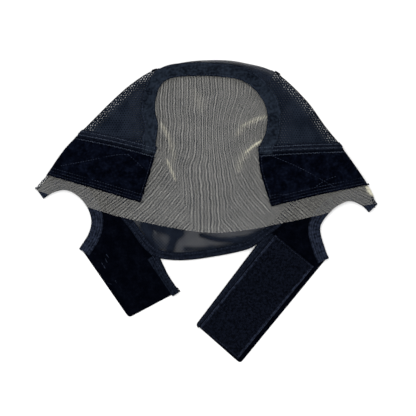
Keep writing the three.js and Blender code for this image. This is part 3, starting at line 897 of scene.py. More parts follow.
def lace_front():
    hair = longer(hairline, MARGIN, MARGIN)
    window, band = window_edge(LAP), hair_band_edge()
    velvets = [velvet_outline(side, GAP) for side in SIDES.values()]
    holes = [ear_hole(side) for side in SIDES.values()]

    def keep(spots):
        away = into_fold(spots)[0]
        kept = (away > 0) & within(above(hair), spots)
        kept &= within(below(window), spots) | within(below(band), spots)
        for velvet in velvets:
            kept &= ~(within(velvet, spots) & (away < VELVET_WALL + GAP))
        for hole in holes:
            kept &= ~within(hole, spots)
        return kept

    wings = band[~within(below(window), band)]
    wings = [wings[wings[:, 0] < 0], wings[wings[:, 0] > 0]]
    lines = [fold_line, hair, window, *wings, *(ear_line(side) for side in SIDES.values())]
    low, high = np.array([-HALF_SPAN, -0.16 * CROWN_RISE]), np.array([1.02 * HALF_SPAN, 0.94 * CROWN_RISE])
    points, faces = cut(lines, keep, LACE_CELL, low, high)
    away = into_fold(points)[0]
    lift = front_underside(points) + LACE_LIFT - LACE_DROP * (1 - ease(away / (3 * MM)))
    buckle = np.zeros(len(points))
    for row in BUCKLES:
        path = through(seen_at(row["path"]))
        gap, foot, _ = nearest(path, points)
        taper = np.minimum(np.linalg.norm(foot - path[0], axis=1), np.linalg.norm(foot - path[-1], axis=1))
        slim = row["wide"] * PHOTO_PIXEL * (0.45 + 0.55 * ease(taper / (3 * MM)))
        buckle = np.maximum(buckle, row["strong"] * np.exp(-((gap / slim) ** 2)))
    places = np.column_stack([points, lift + 0.9 * MM * buckle])
    marks = {**comb(points), "buckle": buckle}
    piece = cloth("lace_front", places, faces, points, LACE, 0, marks)
    belongs(piece, "lace_panel", "lace")
    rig.sheet(piece, held="laid", rests_on=["crown_band_knit"], **cut_sizes(points, faces))


lace_front()

# %% [markdown]
# ## Bands and tapes
# A band or a tape is a narrow strip that follows a line. It could be a curve with a bevel, but a curve
# twists where it likes. Here a strip is a grid: its columns are lines drawn parallel to the seam, and
# its rows cross it, so every rib of the knit runs exactly along the band.

# %% Strips
def strip_grid(line, offsets):
    run = np.concatenate([[0], np.cumsum(np.linalg.norm(np.diff(line, axis=0), axis=1))])
    points = np.stack([beside(line, gap) for gap in offsets], axis=1)
    pattern = np.stack([np.column_stack([run, np.full(len(run), gap)]) for gap in offsets], axis=1)
    return points, pattern


def strip_piece(name, points, heights, pattern, finish, wall):
    rows, columns = points.shape[:2]
    places = np.dstack([points, heights]).reshape(-1, 3)
    faces = grid_faces(rows, columns)
    a, b, c = places[faces[0, 0]], places[faces[0, 1]], places[faces[0, 3]]
    if np.cross(b - a, c - a)[2] < 0:
        faces = faces[:, ::-1]
    piece = cloth(name, places, faces, pattern.reshape(-1, 2), finish, wall)
    width = pattern[0, -1, 1] - pattern[0, 0, 1]
    return piece, (float(pattern[-1, 0, 0]), float(abs(width)))


TAPE_CLOTH = 0.45 * MM


def profile(offsets, rows):
    inward, level = (np.array(column) * MM for column in zip(*rows))
    return np.interp(offsets, inward, level)


def pillow(offsets, width, rise, roll):
    edge = np.minimum(offsets, width - offsets)
    return rise * (np.sqrt(1 - (1 - np.clip(edge / roll, 0, 1)) ** 2) - 1)


def crown_band():
    offsets = np.array([0, 0.3, 0.8, 1.6, 3, 4.5, 6, 7.5, 9, 10.4, 11.2, 11.7, 12]) * MM
    points, pattern = strip_grid(window_line, offsets)
    top = front_underside(points.reshape(-1, 2)).reshape(points.shape[:2]) + OVERLAY + 1.2 * MM
    heights = top + pillow(offsets, BAND_WIDTH, 0.9 * MM, 1.4 * MM)
    piece, flat = strip_piece("crown_band_knit", points, heights, pattern, BAND, 0.6 * MM)
    belongs(piece, "crown_band", "band")
    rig.sheet(piece, flat=flat, held="laid", rests_on=["sheer_back"])


crown_band()

# %% Tape round each ear notch
EAR_LEVELS = [
    (0, 0.1), (0.02, 1.2), (0.1, 2.2), (0.35, 2.8),
    (0.8, 3.1), (9.7, 3.1), (10.2, 2.95), (10.5, 2.6),
]


def ear_tape(name):
    line = ear_line(SIDES[name])
    offsets = np.array([0, 0.02, 0.1, 0.35, 0.8, 1.5, 2.5, 3.7, 5, 6.3, 7.6, 8.8, 9.7, 10.2, 10.5]) * MM
    points, pattern = strip_grid(line, offsets)
    heights = np.broadcast_to(profile(offsets, EAR_LEVELS), points.shape[:2])
    piece, (length, width) = strip_piece(f"ear_tape_{name}", points, heights, pattern, TAPE, TAPE_CLOTH)
    belongs(piece, f"ear_binding_{name}", "tape")
    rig.sheet(piece, flat=(length, width + TAPE_TOP), held="laid", rests_on=[f"velvet_strap_{name}"])


for name in SIDES:
    ear_tape(name)

# %% Tape along the nape
NAPE_LEVELS = [(0, 2.6), (0.02, 2.8), (0.15, 2.9), (0.5, 3.0), (1.2, 3.1), (6.2, 3.1), (6.7, 3.0), (7, 2.8)]
NAPE_EDGE = [(0, 2.5), (0.02, 1.6), (0.15, 0.9), (0.5, 0.3), (1.2, 0)]


def strap_ground(name):
    strap, at = STRAPS[name], strap_frame(name)
    length, width, flare, slant = (strap[key] for key in ("length", "width", "flare", "slant"))
    outer = [at(-EAR_TAPE, -GAP), at(length, -GAP)]
    return np.array([*outer, at(length + slant, width + GAP), at(-EAR_TAPE, width + flare + GAP)])


def nape_tape():
    clear = into_fold(back_seam_line)[0] > NET_HEM + GAP
    line = back_seam_line[clear]
    offsets = np.array([0, 0.02, 0.15, 0.5, 1.2, 2.2, 3.2, 4.2, 5.2, 6.2, 6.7, 7]) * MM
    points, pattern = strip_grid(line, offsets)
    on_strap = within(strap_ground("left"), line) | within(strap_ground("right"), line)
    free = ~on_strap & (line[:, 1] < -0.1 * CROWN_RISE)
    free = np.convolve(free.astype(float), np.ones(3) / 3, mode="same")
    rise, drop = profile(offsets, NAPE_LEVELS), profile(offsets, NAPE_EDGE)
    bumps = ridges(BACK_RIDGES, points.reshape(-1, 2)).reshape(points.shape[:2])
    heights = rise + bumps - free[:, None] * (drop + 0.9 * bumps * (offsets < 0.3 * MM))
    piece, _ = strip_piece("nape_tape", points, heights, pattern, STRIP, TAPE_CLOTH)
    belongs(piece, "nape_binding", "tape")
    return piece


nape = nape_tape()

# %% Knitted strips at the temples
STRIP_PROUD = TAPE_WALL + GAP


def temple_strip(name):
    side = SIDES[name]
    line = longer(smooth(side["seam"])[::-1], 0, 7 * MM)
    line = evenly(line, 0.7 * MM)
    offsets = np.array([-0.9, -0.65, -0.2, 0.7, 1.8, 3.25, 4.1, 5, 5.8, 6.25, 6.5]) * MM * side["out"]
    points, pattern = strip_grid(line, offsets)
    flat_points = points.reshape(-1, 2)
    depth = into_fold(flat_points)[0].reshape(points.shape[:2])
    across = np.abs(offsets - offsets[0])
    shape = np.tile(pillow(across, SEAM_WIDTH + 0.9 * MM, 0.5 * MM, 1.0 * MM), len(line))
    places = fold_over(flat_points, OVERLAY, TAPE_WALL, STRIP_PROUD, shape)
    kept = depth.min(axis=1) > -STRIP_PROUD - 2.2 * MM
    places = places.reshape(*points.shape[:2], 3)[kept]
    plan, heights = places[..., :2], places[..., 2]
    piece, _ = strip_piece(f"temple_strip_{name}", plan, heights, pattern[kept], STRIP, TAPE_CLOTH)
    belongs(piece, f"temple_seam_{name}", "tape")
    return piece


temple_strips = {name: temple_strip(name) for name in SIDES}

# %% [markdown]
# ## Velvet grips
# Velvet keeps the cap from sliding, so there is a patch of it at each temple and a long strap behind
# each ear. The patch is cut with room to turn round the fold, and its edges are rolled in and sewn.

# %% Cut and fold the grips
VELVET_CELL = 2.2 * MM
VELVET_TURN = 1.9 * MM
VELVET_CLOTH = 1.1 * MM


def rolled(points, lines, rise, roll):
    gap = np.min([nearest(line, points)[0] for line in lines], axis=0)
    return rise * (np.sqrt(1 - (1 - np.clip(gap / roll, 0, 1)) ** 2) - 1)


def velvet_grip(name):
    side = SIDES[name]
    outline = velvet_outline(side, -GAP)
    turn_line = beside(fold_line, VELVET_TURN)
    rim = [beside(fold_line, gap * MM) for gap in (0, -0.15, 0.15, -0.5, 0.5, -1.1, 1.1, -1.8)]
    rim = [line[(line[:, 0] * side["out"] > 0.6 * HALF_SPAN)] for line in [turn_line, *rim]]

    def keep(spots):
        return within(outline, spots) & (into_fold(spots)[0] > -VELVET_TURN)

    low, high = outline.min(axis=0), outline.max(axis=0)
    inner, lower = smooth(side["inner"]), smooth(side["lower"])
    edges = [inner, lower, outline[1:len(smooth(side["seam"])) + 1]]
    gaps = (side["out"] * -0.5 * MM, side["out"] * -1.2 * MM)
    inner_rows = [beside(line, gap) for line in (inner, lower) for gap in gaps]
    points, faces = cut([outline, *rim, *inner_rows], keep, VELVET_CELL, low, high)
    sway = 1.3 * np.sin(points[:, 1] / (7.3 * MM))
    crush = 0.25 * MM * np.sin(points[:, 0] / (5.1 * MM) + sway) * np.sin(points[:, 1] / (6.1 * MM))
    edge = rolled(points, edges, 1.3 * MM, 1.6 * MM)
    inside = ease(into_fold(points)[0] / (4 * MM))
    places = fold_over(points, OVERLAY, VELVET_WALL, 0, (crush + edge) * inside)
    piece = cloth(f"velvet_grip_{name}", places, faces, points, VELVET, VELVET_CLOTH)
    belongs(piece, f"temple_grip_{name}", "velvet")
    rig.sheet(piece, held="laid", rests_on=["lace_front"], **cut_sizes(points, faces))


for name in SIDES:
    velvet_grip(name)

# %% Cut the straps
def strap_outline(name, edge):
    strap, side, at = STRAPS[name], SIDES[name], strap_frame(name)
    length, width, flare, slant = (strap[key] for key in ("length", "width", "flare", "slant"))
    cloth_edge = beside(ear_line(side), edge)
    if side["out"] > 0:
        cloth_edge = cloth_edge[::-1]
    ends = [at(0, 0), at(length, 0), at(length + slant, width - edge), at(0, width + flare - edge)]
    seam = back_seam_line[-1] if side["out"] > 0 else back_seam_line[0]

    def corner(before, here, after):
        start = here + CORNER * (before - here) / np.linalg.norm(before - here)
        stop = here + CORNER * (after - here) / np.linalg.norm(after - here)
        t = np.linspace(0, 1, 7)[:, None]
        return (1 - t) ** 2 * start + 2 * t * (1 - t) * here + t**2 * stop

    free = np.vstack([ends[0], corner(*ends[:3]), corner(*ends[1:]), ends[3]])
    back = np.array([[0, seam[1]], [side["out"] * (HALF_SPAN + MARGIN), seam[1]]])
    tip = beside(ear_line(side), EAR_TAPE * 2)[-1 if side["out"] > 0 else 0]
    return np.vstack([cloth_edge[:-1], evenly(free), back, tip]), evenly(free)


def velvet_strap(name):
    edge = TAPE_WALL + GAP
    outline, free = strap_outline(name, edge)
    inside_fold = beside(fold_line, -(VELVET_WALL + GAP))
    nape = beside(back_seam_line, JOIN)
    ear = ear_line(SIDES[name])

    def keep(spots):
        away = nearest(ear, spots)[0]
        kept = within(outline, spots) & (into_fold(spots)[0] > VELVET_WALL + GAP)
        return kept & ~within(above(nape), spots) & (away > edge)

    low, high = outline.min(axis=0), outline.max(axis=0)
    rows = [free, *(beside(free, -SIDES[name]["out"] * gap * MM) for gap in (0.5, 1.2))]
    points, faces = cut([*rows, inside_fold, nape, beside(ear, edge)], keep, 2.6 * MM, low, high)
    top = VELVET_WALL + rolled(points, [free], 1.3 * MM, 1.6 * MM)
    places = np.column_stack([points, top])
    piece = cloth(f"velvet_strap_{name}", places, faces, points, STRAP_VELVET, VELVET_CLOTH)
    belongs(piece, f"strap_{name}", "velvet")
    return piece, cut_sizes(points, faces)


straps = {name: velvet_strap(name) for name in SIDES}

# %% Trim on the inner edge of each strap
TRIM_START = 4 * MM
TRIM_LEVELS = [(0, 0.1), (0.04, 1.4), (0.15, 2.3), (0.4, 2.85), (0.9, 3.1)]
STRAP_BOW = {"left": 3.6 * MM, "right": 0.0}
TRIM_ROUND = {"left": 0.4 * MM, "right": 3 * MM}


def strap_edge_tape(name):
    strap, at = STRAPS[name], strap_frame(name)
    length, width, flare, slant, trim = (strap[key] for key in ("length", "width", "flare", "slant", "trim"))
    far = length + slant + TAPE_WALL
    shares = np.array([0, 0.01, 0.04, 0.12, 0.3, 0.5, 0.7, 0.9, 1.0])
    run = np.append(np.arange(0, far, 1 * MM), far)
    bow = STRAP_BOW[name] * (1 - ease((run - 0.45 * far) / (0.4 * far)))
    into_corner = np.clip((run - far + CORNER) / CORNER, 0, 1)
    bow -= TRIM_ROUND[name] * (1 - np.sqrt(1 - 0.99 * into_corner**2))
    wider = flare * (1 - run / far)
    wide_here = (width + wider + bow)[:, None]
    outer = at(0, 0) + (at(1, 0) - at(0, 0)) * run[:, None] + (at(0, 1) - at(0, 0)) * wide_here
    clear = ~within(above(beside(back_seam_line, TRIM_START)), outer)
    outer, run, across = outer[clear], run[clear], (trim + wider + bow)[clear]
    inward = -turned(strap["turn"] - 90 * SIDES[name]["out"])
    points = outer[:, None] + (across[:, None] * shares)[..., None] * inward
    pattern = np.dstack([np.broadcast_to(run[:, None], points.shape[:2]), across[:, None] * shares])
    rise = profile(shares * trim, TRIM_LEVELS)
    clear_of_nape, _, side_of_nape = nearest(back_seam_line, points.reshape(-1, 2))
    tucked = ease((clear_of_nape * side_of_nape + 1 * MM) / (1 * MM)).reshape(points.shape[:2])
    heights = np.minimum(rise, TAPE_TOP - 0.75 * MM * tucked)
    piece, _ = strip_piece(f"strap_edge_{name}", points, heights, pattern, STRIP, TAPE_CLOTH)
    belongs(piece, f"strap_trim_{name}", "tape")
    return piece


strap_edges = {name: strap_edge_tape(name) for name in SIDES}
for name, (strap, sizes) in straps.items():
    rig.sheet(strap, held="laid", rests_on=["floor"], with_pieces=[strap_edges[name]], **sizes)

# %% [markdown]
# ## The sheer back
# The back is one sheer sheet that lies on the table, goes round the fold at the crown and comes over to
# the band of the window, where it shows as a paler crescent. It has a small pleat near the left strap,
# darker partly because the cloth doubles there and partly from painted shade in its folds. Under the side
# nets the back is painted darker, as the shade that falls under them, and a few creases there carry painted
# highlights.

# %% Cut the sheer back
SHEER_TOP = 1 * MM
TOP_CELL = 2.2 * MM
BACK_CELL = 1.9 * MM
CROWN_VEIL = -0.12
# Pleats: more cover, partly for doubled cloth and partly as painted shade in the folds; a negative strength makes a
# lighter line.
PLEATS_AND_SHADING = [
    dict(path=[(146, 225), (160, 228), (179, 232)], wide=5.0, strong=1.0),
    dict(path=[(177, 232), (173, 241), (170, 250)], wide=3.8, strong=1.0),
    dict(path=[(147, 228), (149, 238), (155, 249)], wide=4.4, strong=0.9),
    dict(path=[(158, 237), (160, 241), (163, 246)], wide=4.0, strong=0.3),
    dict(path=[(151, 222), (153, 227), (155, 233)], wide=0.8, strong=-0.5),
    dict(path=[(201, 235), (218, 239.5), (238, 240)], wide=2.0, strong=0.9),
    dict(path=[(238, 240), (250, 237), (262, 232)], wide=3.4, strong=0.8),
    dict(path=[(222, 233), (240, 234.5), (252, 233)], wide=1.8, strong=-0.2),
    dict(path=[(186, 249), (205, 249), (240, 244)], wide=2.6, strong=0.55),
]
CROWN_STREAKS = [
    dict(path=[(203, 61.5), (222, 61.5), (242, 63.5), (262, 70), (275, 75.5)], wide=2.0, strong=-0.5),
    dict(path=[(185, 65), (215, 65), (240, 67.5), (262, 74.5), (272, 80)], wide=1.3, strong=0.6),
]
# Creases: painted highlights, taken off the cover so that the back shows lighter along them.
CREASE_HIGHLIGHTS = [
    dict(path=[(145, 88), (137, 95), (130, 108), (125, 122)], wide=1.8, strong=0.4),
    dict(path=[(287, 94), (290, 110), (294, 128)], wide=3.4, strong=0.25),
    dict(path=[(302, 108), (306, 122), (308, 134)], wide=3.0, strong=0.2),
]


def drawn(rows, points):
    total = np.zeros(len(points))
    for row in rows:
        gap = nearest(through(seen_at(row["path"])), points)[0] / (row["wide"] * PHOTO_PIXEL)
        total += row["strong"] * np.exp(-(gap**2))
    return total


def crown_seam(name, past=MARGIN):
    inner, outer = np.array(SIDES[name]["crown_seam"]) * (HALF_SPAN, CROWN_RISE)
    return np.array([inner, outer + past * (outer - inner) / np.linalg.norm(outer - inner)])


def side_zone(name):
    out = SIDES[name]["out"]
    inner, outer = crown_seam(name)
    return np.array([inner, outer, [out * FAR, outer[1]], [out * FAR, -FAR], [inner[0], -FAR]])


def crown_zone():
    left, right = crown_seam("left") + (GAP, 0), crown_seam("right") - (GAP, 0)
    return np.vstack([left, right[::-1]])


def sheer_back():
    window = window_edge(BAND_WIDTH - LAP)
    crown = crown_zone()
    rim = [beside(fold_line, gap * MM) for gap in (0, -0.15, -0.5, -1.1, -1.9)]
    near = [line[np.abs(line[:, 0] - 0.05 * HALF_SPAN) < 0.42 * HALF_SPAN] for line in rim]

    def keep_top(spots):
        return within(crown, spots) & (into_fold(spots)[0] > 0) & ~within(below(window), spots)

    low = np.array([-0.4, 0.65]) * (HALF_SPAN, CROWN_RISE)
    high = np.array([0.5, 1.02]) * (HALF_SPAN, CROWN_RISE)
    seams = [crown_seam(name) for name in SIDES]
    top_points, top_faces = cut([*near, window, *seams], keep_top, TOP_CELL, low, high)
    top_places = fold_over(top_points, 0, SHEER_TOP)

    seam = beside(back_seam_line, JOIN + GAP)
    hem = beside(fold_line, -(NET_TURN - GAP))
    zones = [side_zone(name) for name in SIDES]

    def keep_under(spots):
        away = into_fold(spots)[0]
        kept = within(above(seam), spots) & (away > 0)
        for zone in zones:
            kept &= ~(within(zone, spots) & (away < NET_TURN - GAP))
        return kept

    low, high = seam.min(axis=0), fold_line.max(axis=0)
    points, faces = cut([*near, seam, hem, *seams], keep_under, BACK_CELL, low, high)
    away = into_fold(points)[0]
    level = ridges(BACK_RIDGES, points)
    middle = (FRONT_LEVEL + SHEER_TOP) / 2
    shape = middle * (1 - np.sqrt(1 - (1 - np.clip(away / EDGE_ROUND, 0, 1)) ** 2))
    pleat, crease_highlight = drawn(PLEATS_AND_SHADING, points), drawn(CREASE_HIGHLIGHTS, points)
    level = level + 0.5 * MM * np.clip(pleat, 0, 1) * ease((points[:, 1] - seam[:, 1].min()) / (12 * MM))
    places = np.column_stack([points, np.maximum(level, shape)])
    both = np.vstack([top_places, places])
    faces = np.vstack([top_faces, faces[:, ::-1] + len(top_places)])
    # Under the side nets the back gets more cover as painted shade. Near the hem this gives way to a lighter band.
    off_middle = np.abs(points[:, 0] - 0.03 * HALF_SPAN)
    under_net_shade = ease((off_middle - 0.44 * HALF_SPAN) / (0.08 * HALF_SPAN)) * (points[:, 1] > 0)
    rim_fade = ease((away - NET_TURN + GAP) / (4 * MM))
    pleat = pleat + under_net_shade * (1.6 * rim_fade - 0.9)
    from_fold = ease((into_fold(top_points)[0] - 5 * MM) / (6 * MM))
    veil = CROWN_VEIL + drawn(CROWN_STREAKS, top_points) + 0.5 * from_fold
    pleat = pleat + 1.4 * drawn(CROWN_STREAKS[:1], points)
    marks = {"pleat": np.concatenate([veil, np.clip(pleat, -0.9, 1) - crease_highlight])}
    piece = cloth("sheer_back", both, faces, np.vstack([top_points, points]), SHEER, 0, marks)
    wide, deep = points.max(axis=0) - points.min(axis=0)
    crescent = top_points[:, 1].max() - top_points[:, 1].min()
    area = flat_area(np.vstack([top_points, points]), faces)
    return piece, dict(flat=(wide, deep + crescent), area=area)


back, back_sizes = sheer_back()
belongs(back, "back_panel", "sheer")
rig.sheet(back, held="laid", rests_on=["floor"], with_pieces=[nape], **back_sizes)

# %% [markdown]
# ## Side nets
# The net is a honeycomb of thread with holes about 2 mm apart. It repeats by a rule, so Geometry Nodes
# make it: a grid whose alternate rows are pushed half a step gives triangles, the dual of that mesh is a
# honeycomb, and each face is hollowed to leave its threads. The flat honeycomb is then carried onto the
# cut piece, which knows for each of its points where it lies on the cap.

# %% Nodes that make geometry
class Recipe:
    def __init__(self, name, inputs):
        self.tree = bpy.data.node_groups.new(name, "GeometryNodeTree")
        self.sockets = {}
        face = self.tree.interface
        flow = dict(in_out="INPUT", socket_type="NodeSocketGeometry")
        self.sockets["Geometry"] = face.new_socket("Geometry", **flow)
        for key, (kind, _) in inputs.items():
            self.sockets[key] = face.new_socket(key, in_out="INPUT", socket_type=f"NodeSocket{kind}")
        face.new_socket("Geometry", in_out="OUTPUT", socket_type="NodeSocketGeometry")
        self.given = self.tree.nodes.new("NodeGroupInput").outputs
        self.values = {key: value for key, (_, value) in inputs.items()}

    def node(self, kind, settings=None, sockets=None):
        made = self.tree.nodes.new(kind)
        for key, value in (settings or {}).items():
            setattr(made, key, value)
        for key, value in (sockets or {}).items():
            value = value.socket if isinstance(value, Number) else value
            if isinstance(value, bpy.types.NodeSocket):
                self.tree.links.new(value, made.inputs[key])
            else:
                made.inputs[key].default_value = value
        return made

    def number(self, socket):
        return Number(self, socket)

    def finish_with(self, geometry, material):
        whole = self.node("GeometryNodeRealizeInstances", {}, {0: geometry})
        coated = self.node("GeometryNodeSetMaterial", {}, {"Geometry": whole.outputs[0]})
        coated.inputs["Material"].default_value = material
        self.tree.links.new(coated.outputs[0], self.tree.nodes.new("NodeGroupOutput").inputs[0])

    def grow(self, piece, **changed):
        work = piece.modifiers.new("work", "NODES")
        work.node_group = self.tree
        for key, value in {**self.values, **changed}.items():
            work[self.sockets[key].identifier] = value
        graph = bpy.context.evaluated_depsgraph_get()
        graph.update()
        mesh = bpy.data.meshes.new_from_object(piece.evaluated_get(graph), depsgraph=graph)
        piece.modifiers.remove(work)
        return mesh


def net_recipe():
    recipe = Recipe("side_net", {"Pitch": ("Float", 2.3 * MM), "Hole": ("Float", 1.0)})
    carrier, pitch = recipe.given["Geometry"], recipe.number(recipe.given["Pitch"])
    bound = recipe.node("GeometryNodeBoundBox", {}, {0: carrier})
    low = recipe.node("ShaderNodeSeparateXYZ", {}, {0: bound.outputs["Min"]})
    high = recipe.node("ShaderNodeSeparateXYZ", {}, {0: bound.outputs["Max"]})
    wide = recipe.number(high.outputs[0]) - recipe.number(low.outputs[0]) + pitch * 2
    tall = recipe.number(high.outputs[1]) - recipe.number(low.outputs[1]) + pitch * 2
    row = pitch * (math.sqrt(3) / 2)
    columns = (wide / pitch).math("ROUND", wide / pitch)
    rows = (tall / row).math("ROUND", tall / row)
    sockets = {"Size X": columns * pitch, "Size Y": rows * row}
    sockets.update({"Vertices X": columns + 1, "Vertices Y": rows + 1})
    sheet = recipe.node("GeometryNodeMeshGrid", {}, sockets)
    spot = recipe.node("ShaderNodeSeparateXYZ", {}, {0: recipe.node("GeometryNodeInputPosition").outputs[0]})
    up = recipe.number(spot.outputs[1])
    step = ((up + rows * row * 0.5) / row).math("ROUND", (up + rows * row * 0.5) / row)
    odd = step.math("MODULO", step, 2.0)
    sockets = {0: bound.outputs["Min"], 1: bound.outputs["Max"]}
    middle = recipe.node("ShaderNodeVectorMath", dict(operation="ADD"), sockets)
    half = recipe.node("ShaderNodeVectorMath", dict(operation="SCALE"), {0: middle.outputs[0], "Scale": 0.5})
    nudge = recipe.node("ShaderNodeCombineXYZ", {}, {0: odd * pitch * 0.5})
    sockets = {0: half.outputs[0], 1: nudge.outputs[0]}
    move = recipe.node("ShaderNodeVectorMath", dict(operation="ADD"), sockets)
    sockets = {"Geometry": sheet.outputs[0], "Offset": move.outputs[0]}
    pushed = recipe.node("GeometryNodeSetPosition", {}, sockets)
    halves = recipe.node("GeometryNodeTriangulate", {}, {0: pushed.outputs[0]})
    comb_mesh = recipe.node("GeometryNodeDualMesh", {}, {0: halves.outputs[0]})
    near = recipe.node("GeometryNodeProximity", dict(target_element="FACES"), {0: carrier})
    distance = recipe.number(near.outputs["Distance"])
    off = distance.math("GREATER_THAN", distance, 0.2 * MM)
    sockets = {"Geometry": comb_mesh.outputs[0], "Selection": off}
    trimmed = recipe.node("GeometryNodeDeleteGeometry", dict(domain="FACE"), sockets)
    sockets = {"Mesh": trimmed.outputs[0], "Offset Scale": 0.0, "Individual": True}
    raised = recipe.node("GeometryNodeExtrudeMesh", dict(mode="FACES"), sockets)
    share = recipe.node("GeometryNodeInputNamedAttribute", dict(data_type="FLOAT"), {"Name": "open"})
    sockets = {"Mesh": carrier, "Value": share.outputs[0]}
    wide_open = recipe.node("GeometryNodeSampleNearestSurface", dict(data_type="FLOAT"), sockets)
    hole = recipe.number(wide_open.outputs["Value"]) * recipe.number(recipe.given["Hole"])
    sockets = {"Geometry": raised.outputs[0], "Selection": raised.outputs["Top"], "Scale": hole}
    shrunk = recipe.node("GeometryNodeScaleElements", {}, sockets)
    sockets = {"Geometry": shrunk.outputs[0], "Selection": raised.outputs["Top"]}
    open_net = recipe.node("GeometryNodeDeleteGeometry", dict(domain="FACE"), sockets)
    place = recipe.node("GeometryNodeInputNamedAttribute", dict(data_type="FLOAT_VECTOR"), {"Name": "place"})
    sockets = {"Mesh": carrier, "Value": place.outputs[0]}
    sample = recipe.node("GeometryNodeSampleNearestSurface", dict(data_type="FLOAT_VECTOR"), sockets)
    sockets = {"Geometry": open_net.outputs[0], "Position": sample.outputs["Value"]}
    laid = recipe.node("GeometryNodeSetPosition", {}, sockets)
    recipe.finish_with(laid.outputs[0], NET)
    return recipe


NET_RECIPE = net_recipe()

# %% Cut and net the sides
NET_OPEN = dict(under=0.76, rim=0.68, inside=0.42, fade=12 * MM)
NET_THREAD = 0.5 * MM


def side_net(name):
    side = SIDES[name]
    window = window_edge(BAND_WIDTH - LAP)
    seam = longer(smooth(side["seam"]), 2 * MARGIN, MARGIN)
    raised = beside(seam, -side["out"] * (SEAM_WIDTH - LAP))
    inner, outer = crown_seam(name, 3 * MARGIN)
    out = side["out"]
    zone = np.array([inner, outer, [out * FAR, outer[1]], [out * FAR, -FAR], [inner[0], -FAR]])
    hem = beside(fold_line, NET_TURN)
    rim = [beside(fold_line, gap * MM) for gap in (0, -0.4, 0.4, -1.2, 1.2, -2.2, 2.2)]
    half = [line[line[:, 0] * out > 0.2 * HALF_SPAN] for line in [hem, *rim]]
    strap_side = beside(back_seam_line, JOIN + GAP)
    under_seam = np.vstack([raised, [raised[-1, 0], -FAR], [raised[0, 0], -FAR]])

    def keep(spots):
        away, foot = into_fold(spots)
        mirrored = np.where((away < 0)[:, None], 2 * foot - spots, spots)
        kept = within(zone, spots) & (away > -NET_TURN) & ~within(below(window), spots)
        kept &= ~within(under_seam, spots)
        return kept & ((away > 0) | within(above(strap_side), mirrored))

    low = np.array([min(out * 0.15, out * 0.95), 0.3]) * (HALF_SPAN, CROWN_RISE)
    high = np.array([max(out * 0.15, out * 0.95), 1.15]) * (HALF_SPAN, CROWN_RISE)
    points, faces = cut([*half, raised, window, np.array([inner, outer])], keep, 2.0 * MM, low, high)
    flat = np.column_stack([points, np.zeros(len(points))])
    mesh = bpy.data.meshes.new(f"net_cut_{name}")
    mesh.from_pydata(flat.tolist(), [], faces.tolist())
    places = in_model(fold_over(points, 0, NET_WALL))
    places[:, 2] = places[:, 2].clip(NET_THREAD)
    mesh.attributes.new("place", "FLOAT_VECTOR", "POINT").data.foreach_set("vector", places.ravel())
    away = into_fold(points)[0]
    at_rim = 1 - ease(away / NET_OPEN["fade"])
    over = NET_OPEN["inside"] + (NET_OPEN["rim"] - NET_OPEN["inside"]) * at_rim
    open_share = np.where(away < 0, NET_OPEN["under"], over)
    mesh.attributes.new("open", "FLOAT", "POINT").data.foreach_set("value", open_share)
    carrier = bpy.data.objects.new(f"net_cut_{name}", mesh)
    bpy.context.collection.objects.link(carrier)
    net = NET_RECIPE.grow(carrier)
    bpy.data.objects.remove(carrier)
    net.polygons.foreach_set("use_smooth", np.ones(len(net.polygons), bool))
    piece = bpy.data.objects.new(f"side_net_{name}", net)
    bpy.context.collection.objects.link(piece)
    thickness = piece.modifiers.new("thread", "SOLIDIFY")
    thickness.thickness = NET_THREAD
    thickness.offset = -1
    belongs(piece, f"side_mesh_{name}", "net")
    threads = sum(face.area for face in net.polygons)
    print(f"{name} net: {threads / flat_area(points, faces):.2f} of the cut is thread")
    sizes = cut_sizes(points, faces, threads)
    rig.sheet(piece, held="laid", rests_on=["sheer_back"], with_pieces=[temple_strips[name]], **sizes)


for name in SIDES:
    side_net(name)

# %% [markdown]
# ## The hook tape
# The right strap carries a broad hook tape, woven, with a plain selvage along each side and rows of tiny
# hooks between. The hooks are many and alike, so Geometry Nodes set one small bead for each of them.

# %% Base of the hook tape
HOOK_LEVEL = 2.9 * MM
SELVAGE_WIDTH = 2 * MM


def hook_tape():
    at, corners = strap_frame("right"), hook_corners()
    long, wide = np.linalg.norm(corners[1] - corners[0]), np.linalg.norm(corners[2] - corners[1])
    along = np.linspace(0, long, 60)
    edge = [0, 0.3, 0.8]
    far_edge = [wide / MM - gap for gap in edge[::-1]]
    across = np.concatenate([edge, np.linspace(2, wide / MM - 2, 20), far_edge]) * MM
    run = HOOK_START + along[:, None].repeat(len(across), 1)
    points = at(run, HOOK_EDGE + across[None].repeat(len(along), 0))
    selvage = (across < SELVAGE_WIDTH) | (across > wide - SELVAGE_WIDTH)
    rolled_in = np.minimum(across, wide - across) < 0.2 * MM
    rise = HOOK_LEVEL + 0.5 * MM * selvage - 0.6 * MM * rolled_in
    heights = np.broadcast_to(rise, points.shape[:2])
    pattern = np.dstack(np.meshgrid(along, across, indexing="ij"))
    piece, flat = strip_piece("hook_tape", points, heights, pattern, HOOK, 0.7 * MM)
    piece.data.materials.append(SELVAGE)
    for face in piece.data.polygons:
        place = pattern.reshape(-1, 2)[list(face.vertices)].mean(axis=0)
        face.material_index = int(min(place[1], wide - place[1]) < 1.9 * MM)
    belongs(piece, "hook_patch", "hook")
    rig.sheet(piece, flat=flat, held="laid", rests_on=["velvet_strap_right"])
    return long, wide


hook_long, hook_wide = hook_tape()

